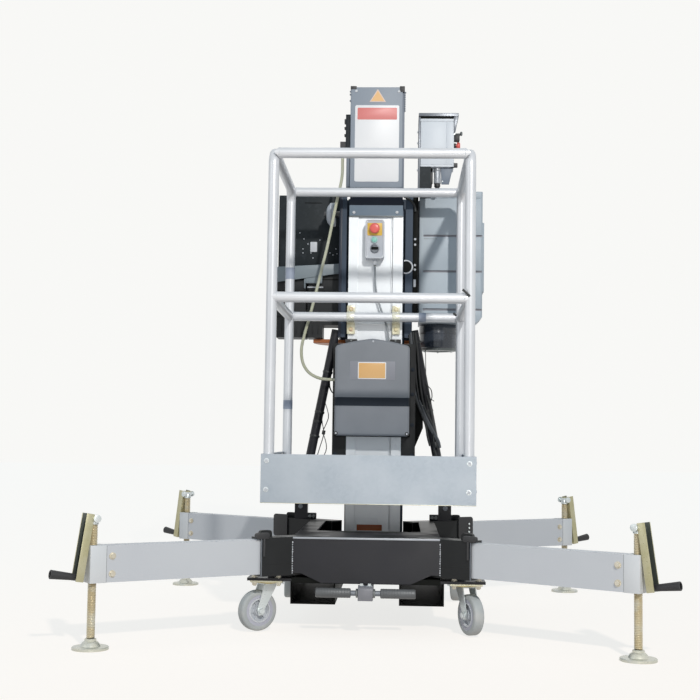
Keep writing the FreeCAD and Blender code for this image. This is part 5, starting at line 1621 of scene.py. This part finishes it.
def makeBaseTrim():
    wide, front, back, low, high = baseTrim["edge"]
    # light strip along the top plate's front edge: a painted highlight
    keep("paleSteelAndEdgeHighlight", softBlock("frontEdgeHighlight", (-wide, front, low), (wide, back, high), 0.0007))
    for side in (-1, 1):
        # weld beads down both front corners, painted near-white as their highlights
        for i in range(baseTrim["welds"]):
            spot = (side * baseTrim["weldX"], baseTrim["front"] + 0.0004,
                baseTrim["weldLow"] + i * baseTrim["weldStep"])
            size = 0.0018 + 0.0004 * (i * 7 % 4)
            keep("rimWhite", domeScrew(spot, (side * 0.6, -1, 0), size, 0.0021, "weldBeadGlint"))
        f, t, y1, y2, z1, z2 = baseTrim["foot"]
        x = sorted((side * f, side * t))
        keep("frontBlack", softBlock("footLug", (x[0], y1, z1), (x[1], y2, z2), 0.0015))
        for share in (0.3, 0.72):
            spot = (x[0] + (x[1] - x[0]) * share, y1, (z1 + z2) / 2)
            keep("plateGrey", hexBolt("footBolt", spot, (0, -1, 0), 0.0042, 0.0035, 0.0062))
        spot = (side * 0.2617, 0.3826, 0.331)
        keep("edgeSteel", hexBolt("footBolt", spot, (0, -1, 0), 0.0055, 0.0045, 0.0085))
        for z in (0.19, 0.245):
            for y in (-0.22, 0.0, 0.22):
                keep("edgeSteel", hexBolt("sideBolt", (side * 0.218, y, z), (side, 0, 0), 0.0055, 0.004,
                    0.0085))
    for left, z1, z2 in baseTrim["bars"]:
        for step in (0, 1):
            x = left + step * baseTrim["barGap"]
            keep("plateGrey", softBlock("pocketBar", (x, baseTrim["barFront"], z1),
                (x + baseTrim["barWide"], -0.268, z2), 0.002))
    for sx, sy in corners.values():
        centre = (sx * caster["x"], sy * caster["y"], 0.1462)
        keep("raceGold", addRing("swivelRace", centre, (0, 0, 1), 0.0312, 0.0033, 40, 10))
    return joinKept("base_trim")


dress(makeBaseTrim(), "base")
trimModels = {"front": makeSocketTrim(True), "rl": makeSocketTrim(False),
    "rr": makeSocketTrim(False, baseTrim["plateBolts"])}
for corner, (sx, sy) in corners.items():
    trim = copyPiece(trimModels["front" if sy < 0 else corner], "socket_trim_" + corner,
        beamPlace(sx, sy))
    dress(trim, "base")
for model in trimModels.values():
    discard(model)

# Drawbar

pull = {"y": -0.446, "z": 0.127, "block": 0.022, "rise": 0.020, "bar": 0.012, "tail": 0.150,
    "neck": 0.045, "end": 0.147, "grip": 0.014, "rod": 0.008}


def makeDrawbar():
    y, z, half, rise = pull["y"], pull["z"], pull["block"], pull["rise"]
    block = addBlock("pullBlock", (-half, y - half, z - rise), (half, y + half, z + rise))
    roundAlong(block, (1, 0, 0), 0.0065, 1, lambda middle: middle.z > z)
    roundEdges(block, 0.0014)
    bar = softBlock("pullBar", (-pull["bar"], y, z - pull["bar"]),
        (pull["bar"], pull["tail"], z + pull["bar"]), 0.0015)
    keep("blockSteel", block)
    keep("barSteel", bar)
    keep("edgeSteel", softBlock("pullPlate", (-0.0215, y - 0.0105, z + rise - 0.0005),
        (0.0215, y + 0.015, z + rise + 0.0025), 0.0008))
    for x in (-0.0115, 0.0115):
        keep("zinc", hexBolt("pullBolt", (x, y - 0.001, z + rise + 0.0024), (0, 0, 1), 0.0052, 0.0042,
            0.0072))
    for side in (-1, 1):
        neck = addRod("pullNeck", (side * (half - 0.002), y, z), (side * (pull["neck"] + 0.002), y, z),
            pull["rod"], 24)
        nut = addRod("pullNut", (side * half, y, z), (side * (half + 0.0065), y, z), 0.0135, 6)
        roundEdges(nut, 0.0008, 1)
        grip = addRod("pullGrip", (side * pull["neck"], y, z), (side * (pull["end"] - 0.003), y, z),
            pull["grip"], 36)
        stepFaces(grip, facing((side, 0, 0), 0.99), [(0.0022, (side * 0.003, 0, 0)), (0.004, (0, 0, 0)),
            (0.0008, (-side * 0.002, 0, 0))])
        stepFaces(grip, facing((-side, 0, 0), 0.99), [(0.002, (-side * 0.0015, 0, 0))])
        roundEdges(grip, 0.0005, 1, 30)
        keep("edgeSteel", neck)
        keep("plateGrey", nut)
        keep("gripGrey", grip)
        for i in range(11):
            x = side * (pull["neck"] + 0.008 + i * 0.0082)
            keep("gripGrey", addRing("gripRib", (x, y, z), (1, 0, 0), pull["grip"] - 0.0003, 0.0009, 32,
                6))
    return joinKept("drawbar_dressed")


dress(makeDrawbar(), "drawbar", "drawbar")

# Basket: weld beads, feet of the posts, rivets, straps, bolts of the toe boards

print("stage: basket details")

basket = {
    "x": 0.308, "front": -0.295, "rear": 0.314, "radius": 0.0165, "frontTop": 1.470, "rearTop": 1.469,
    "mid": 1.015,
    "floor": 0.4162, "boardFront": -0.3146, "boardHalf": 0.330, "boardLow": 0.378, "boardHigh": 0.528,
    "boardBolts": [(-0.312, 0.5076), (-0.313, 0.4195), (0.309, 0.5066), (0.307, 0.419)],
    "rivets": [1.313, 1.1758, 0.9294, 0.8414], "railTape": (0.159, 0.184),
    "tapes": [(1.149, 1.191), (0.680, 0.712)],
    "straps": [((0.284, -0.3135, 1.041), (0.3065, -0.3145, 1.0205)),
        ((0.282, 0.2965, 1.0305), (0.3055, 0.2955, 1.0125))],
}


def makeBasketTrim():
    x, front, rear, radius = (basket[k] for k in ("x", "front", "rear", "radius"))
    reach = radius + 0.001
    joints = [(front, "frontTop"), (front, "mid"), (rear, "rearTop"), (rear, "mid")]
    for y, high in joints:
        z = basket[high]
        for side in (-1, 1):
            keep("basketTube", addRing("weldRing", (side * (x - reach), y, z), (1, 0, 0),
                radius - 0.0002, 0.0016, 32, 8))
    for side in (-1, 1):
        for y, way in ((front, 1), (rear, -1)):
            keep("basketTube", addRing("weldRing", (side * x, y + way * reach, basket["mid"]),
                (0, 1, 0), radius - 0.0002, 0.0016, 32, 8))
            foot = softBlock("postFoot", (side * x - 0.0195, y - 0.0165, basket["floor"]),
                (side * x + 0.0185, y + 0.0195, basket["floor"] + 0.004), 0.0008)
            collar = addRing("footWeld", (side * x, y, basket["floor"] + 0.0045), (0, 0, 1),
                radius + 0.0003, 0.0018, 32, 8)
            keep("galvanised", foot)
            keep("basketTube", collar)
    for z in basket["rivets"]:
        spot = (x + radius * 0.8, rear - radius * 0.58, z)
        keep("zinc", domeScrew(spot, (0.8, -0.58, 0), 0.0024, 0.0016))
    for z1, z2 in basket["tapes"]:
        keep("postTape", roundEdges(addRod("postTape", (-x, rear, z1), (-x, rear, z2), radius + 0.0004,
            32), 0.0002, 1))
    start, end = basket["railTape"]
    keep("postTape", roundEdges(addRod("railTape", (start, rear, basket["mid"]),
        (end, rear, basket["mid"]), radius + 0.0004, 32), 0.0002, 1))
    for start, end in basket["straps"]:
        keep("cableBlack", roundEdges(addRod("railStrap", start, end, 0.0036, 12), 0.001))
    return joinKept("basket_trim")


def makeBoardTrim():
    y, half, low = basket["boardFront"], basket["boardHalf"], basket["boardLow"]
    keep("paleZinc", softBlock("boardEdge", (-half, y - 0.0006, low), (half, y + 0.0008, low + 0.0016),
        0.0003))
    for x, z in basket["boardBolts"]:
        keep("zinc", addRod("boardWasher", (x, y + 0.0005, z), (x, y - 0.0014, z), 0.0078, 28))
        keep("rimWhite", domeScrew((x, y - 0.0014, z), (0, -1, 0), 0.0055, 0.0038))
    for side in (-1, 1):
        for spot in (-0.25, 0.28):
            for z in (0.5076, 0.4195):
                keep("zinc", addRod("boardWasher", (side * (half - 0.0005), spot, z),
                    (side * (half + 0.0014), spot, z), 0.0078, 28))
                keep("rimWhite", domeScrew((side * (half + 0.0014), spot, z), (side, 0, 0), 0.0055,
                    0.0038))
        high = basket["boardHigh"]
        keep("galvanised", softBlock("sideLip", (side * (half - 0.0125), -0.3105, high - 0.0022),
            (side * (half - 0.0005), 0.3295, high), 0.0006))
    return joinKept("toe_board_trim")


def makeFootPlates():
    # bare grey plate and orange strip at the foot of the carriage profile
    grey = softBlock("footPlateGrey", (-0.0594, 0.3695, 0.2320), (0.0185, 0.3715, 0.2928), 0.0004,
        (0, 1, 0), 0.002)
    orange = softBlock("footPlateOrange", (-0.0568, 0.3685, 0.2480), (0.0338, 0.3712, 0.2695), 0.0004)
    keep("silverProfile", grey)
    keep("plateOrange", orange)
    return joinKept("foot_plates")


dress(makeBasketTrim(), "carriage")
dress(makeBoardTrim(), "carriage")
dress(makeFootPlates(), "carriage")

# Wiring clipped to the braces

loom = {
    "foot": (0.260, 0.4026, 0.352), "head": (0.142, 0.404, 0.975), "cuts": 20,
    # side, -1 for left, radius, finish, forward, then share of the brace and distance across it
    "cables": [
        # the lighter grey cables are black cables with a painted highlight
        (1, 0.0046, "cableHighlightGrey", -0.0205, [(0.99, -0.012), (0.88, -0.019), (0.745, -0.031),
            (0.66, -0.035), (0.58, -0.031),
                                            (0.5, -0.018), (0.42, -0.003), (0.36, 0.011),
                                            (0.325, 0.014)]),
        (1, 0.0044, "cableHighlightGrey", -0.0235, [(0.6, -0.026), (0.5, -0.012), (0.42, 0.003), (0.35, 0.017),
            (0.31, 0.018)]),
        (1, 0.0044, "cableBlack", -0.0205, [(0.99, -0.004), (0.86, -0.012), (0.7, -0.024),
            (0.6, -0.026)]),
        (1, 0.0046, "cableBlack", -0.0205, [(0.99, 0.004), (0.85, -0.003), (0.68, -0.013),
            (0.55, -0.011), (0.45, 0.006),
                                            (0.36, 0.013), (0.3, 0.009)]),
        (1, 0.0042, "cableBlack", -0.0200, [(0.98, -0.019), (0.88, -0.023), (0.78, -0.029),
            (0.7, -0.038), (0.62, -0.039),
                                            (0.52, -0.027), (0.45, -0.018), (0.38, -0.019),
                                            (0.33, -0.016)]),
        (1, 0.0040, "cableBlack", -0.0215, [(0.62, 0.003), (0.5, 0.010), (0.4, 0.004), (0.3, -0.004),
            (0.2, 0.006),
                                            (0.12, 0.004)]),
        (1, 0.0018, "cableBlack", -0.0170, [(0.69, 0.006), (0.665, 0.017), (0.645, 0.0235),
            (0.607, 0.0225), (0.58, 0.015),
                                            (0.545, 0.008)]),
        (-1, 0.0016, "cableBlack", -0.006, [(0.575, -0.013), (0.545, -0.024), (0.5, -0.036),
            (0.45, -0.032), (0.41, -0.027),
                                            (0.385, -0.034), (0.35, -0.046), (0.31, -0.052),
                                            (0.27, -0.046), (0.2, -0.022),
                                            (0.15, -0.010)]),
        (-1, 0.0016, "cableBlack", -0.008, [(0.53, -0.010), (0.49, -0.013), (0.457, -0.018),
            (0.41, -0.030), (0.37, -0.031),
                                            (0.33, -0.028), (0.27, -0.024), (0.2, -0.014),
                                            (0.13, -0.008)]),
        (-1, 0.0032, "cableBlack", 0.0, [(0.7, -0.012), (0.665, -0.019), (0.64, -0.032),
            (0.628, -0.047)]),
    ],
    "clips": [(1, 0.34, 0.0195), (1, 0.53, 0.0185), (1, 0.93, 0.0195), (-1, 0.375, 0.0185),
        (-1, 0.46, 0.0180),
              (-1, 0.515, 0.0180), (-1, 0.75, 0.0185)],
    "knots": [(1, 0.33, 0.004, -0.0215, 0.0085, 0.011), (-1, 0.405, -0.030, -0.007, 0.0062, 0.008)],
    "tail": ((1, 0.607, 0.008), (1, 0.578, 0.027)),
}


def braceLine(side):
    # foot and head of the brace, its direction and the direction across it
    foot, head = (Vector((side * x, y, z)) for x, y, z in (loom["foot"], loom["head"]))
    way = (head - foot).normalized()
    return foot, head, way, Vector((side * way.z, 0, -side * way.x))


def bracePoint(side, share, across=0.0, forward=0.0):
    foot, head, way, beside = braceLine(side)
    return foot.lerp(head, share) + beside * across + Vector((0, forward, 0))


def offsetAt(points, share):
    # smooth curve through the given distances
    i = max(0, min(len(points) - 2, sum(share < point[0] for point in points) - 1))
    (s1, a1), (s2, a2) = points[i], points[i + 1]
    before, after = points[max(i - 1, 0)], points[min(i + 2, len(points) - 1)]
    t = (share - s1) / (s2 - s1)
    lead = (a2 - before[1]) / (s2 - before[0]) * (s2 - s1)
    tail = (after[1] - a1) / (after[0] - s1) * (s2 - s1)
    rise = 3 * t ** 2 - 2 * t ** 3
    return (1 - rise) * a1 + (t ** 3 - 2 * t ** 2 + t) * lead + rise * a2 + (t ** 3 - t ** 2) * tail


def makeLoomCable(side, radius, finishName, forward, points):
    foot, head, way, beside = braceLine(side)
    first, last = foot.lerp(head, points[0][0]), foot.lerp(head, points[-1][0])
    cable = addRod("loomCable", first, last, radius, 12)
    for i in range(1, loom["cuts"]):
        cutAcross(cable, first.lerp(last, i / loom["cuts"]), way)
    for vertex in cable.data.vertices:
        share = (vertex.co - foot).dot(way) / (head - foot).length
        vertex.co += beside * offsetAt(points, share) + Vector((0, forward, 0))
    keep(finishName, cable)


def makeLooms():
    for values in loom["cables"]:
        makeLoomCable(*values)
    for side, share, radius in loom["clips"]:
        middle, half = bracePoint(side, share), braceLine(side)[2] * 0.0045
        keep("cableBlack", roundEdges(addRod("loomBand", middle - half, middle + half, radius, 28),
            0.0012))
    for side, share, across, forward, radius, half in loom["knots"]:
        middle, half = bracePoint(side, share, across, forward), braceLine(side)[2] * half
        keep("cableBlack", roundEdges(addRod("loomKnot", middle - half, middle + half, radius, 10),
            0.0022))
    start, end = (bracePoint(side, share, across, -0.019) for side, share, across in loom["tail"])
    keep("cableBlack", addRod("tieTail", start, end, 0.0012, 8))
    keep("cableBlack", addRod("motorWire", (0.188, 0.5305, 0.915), (0.1905, 0.421, 0.7235), 0.0014, 10))
    return joinKept("brace_looms")


dress(makeLooms(), "base", smooth=40)
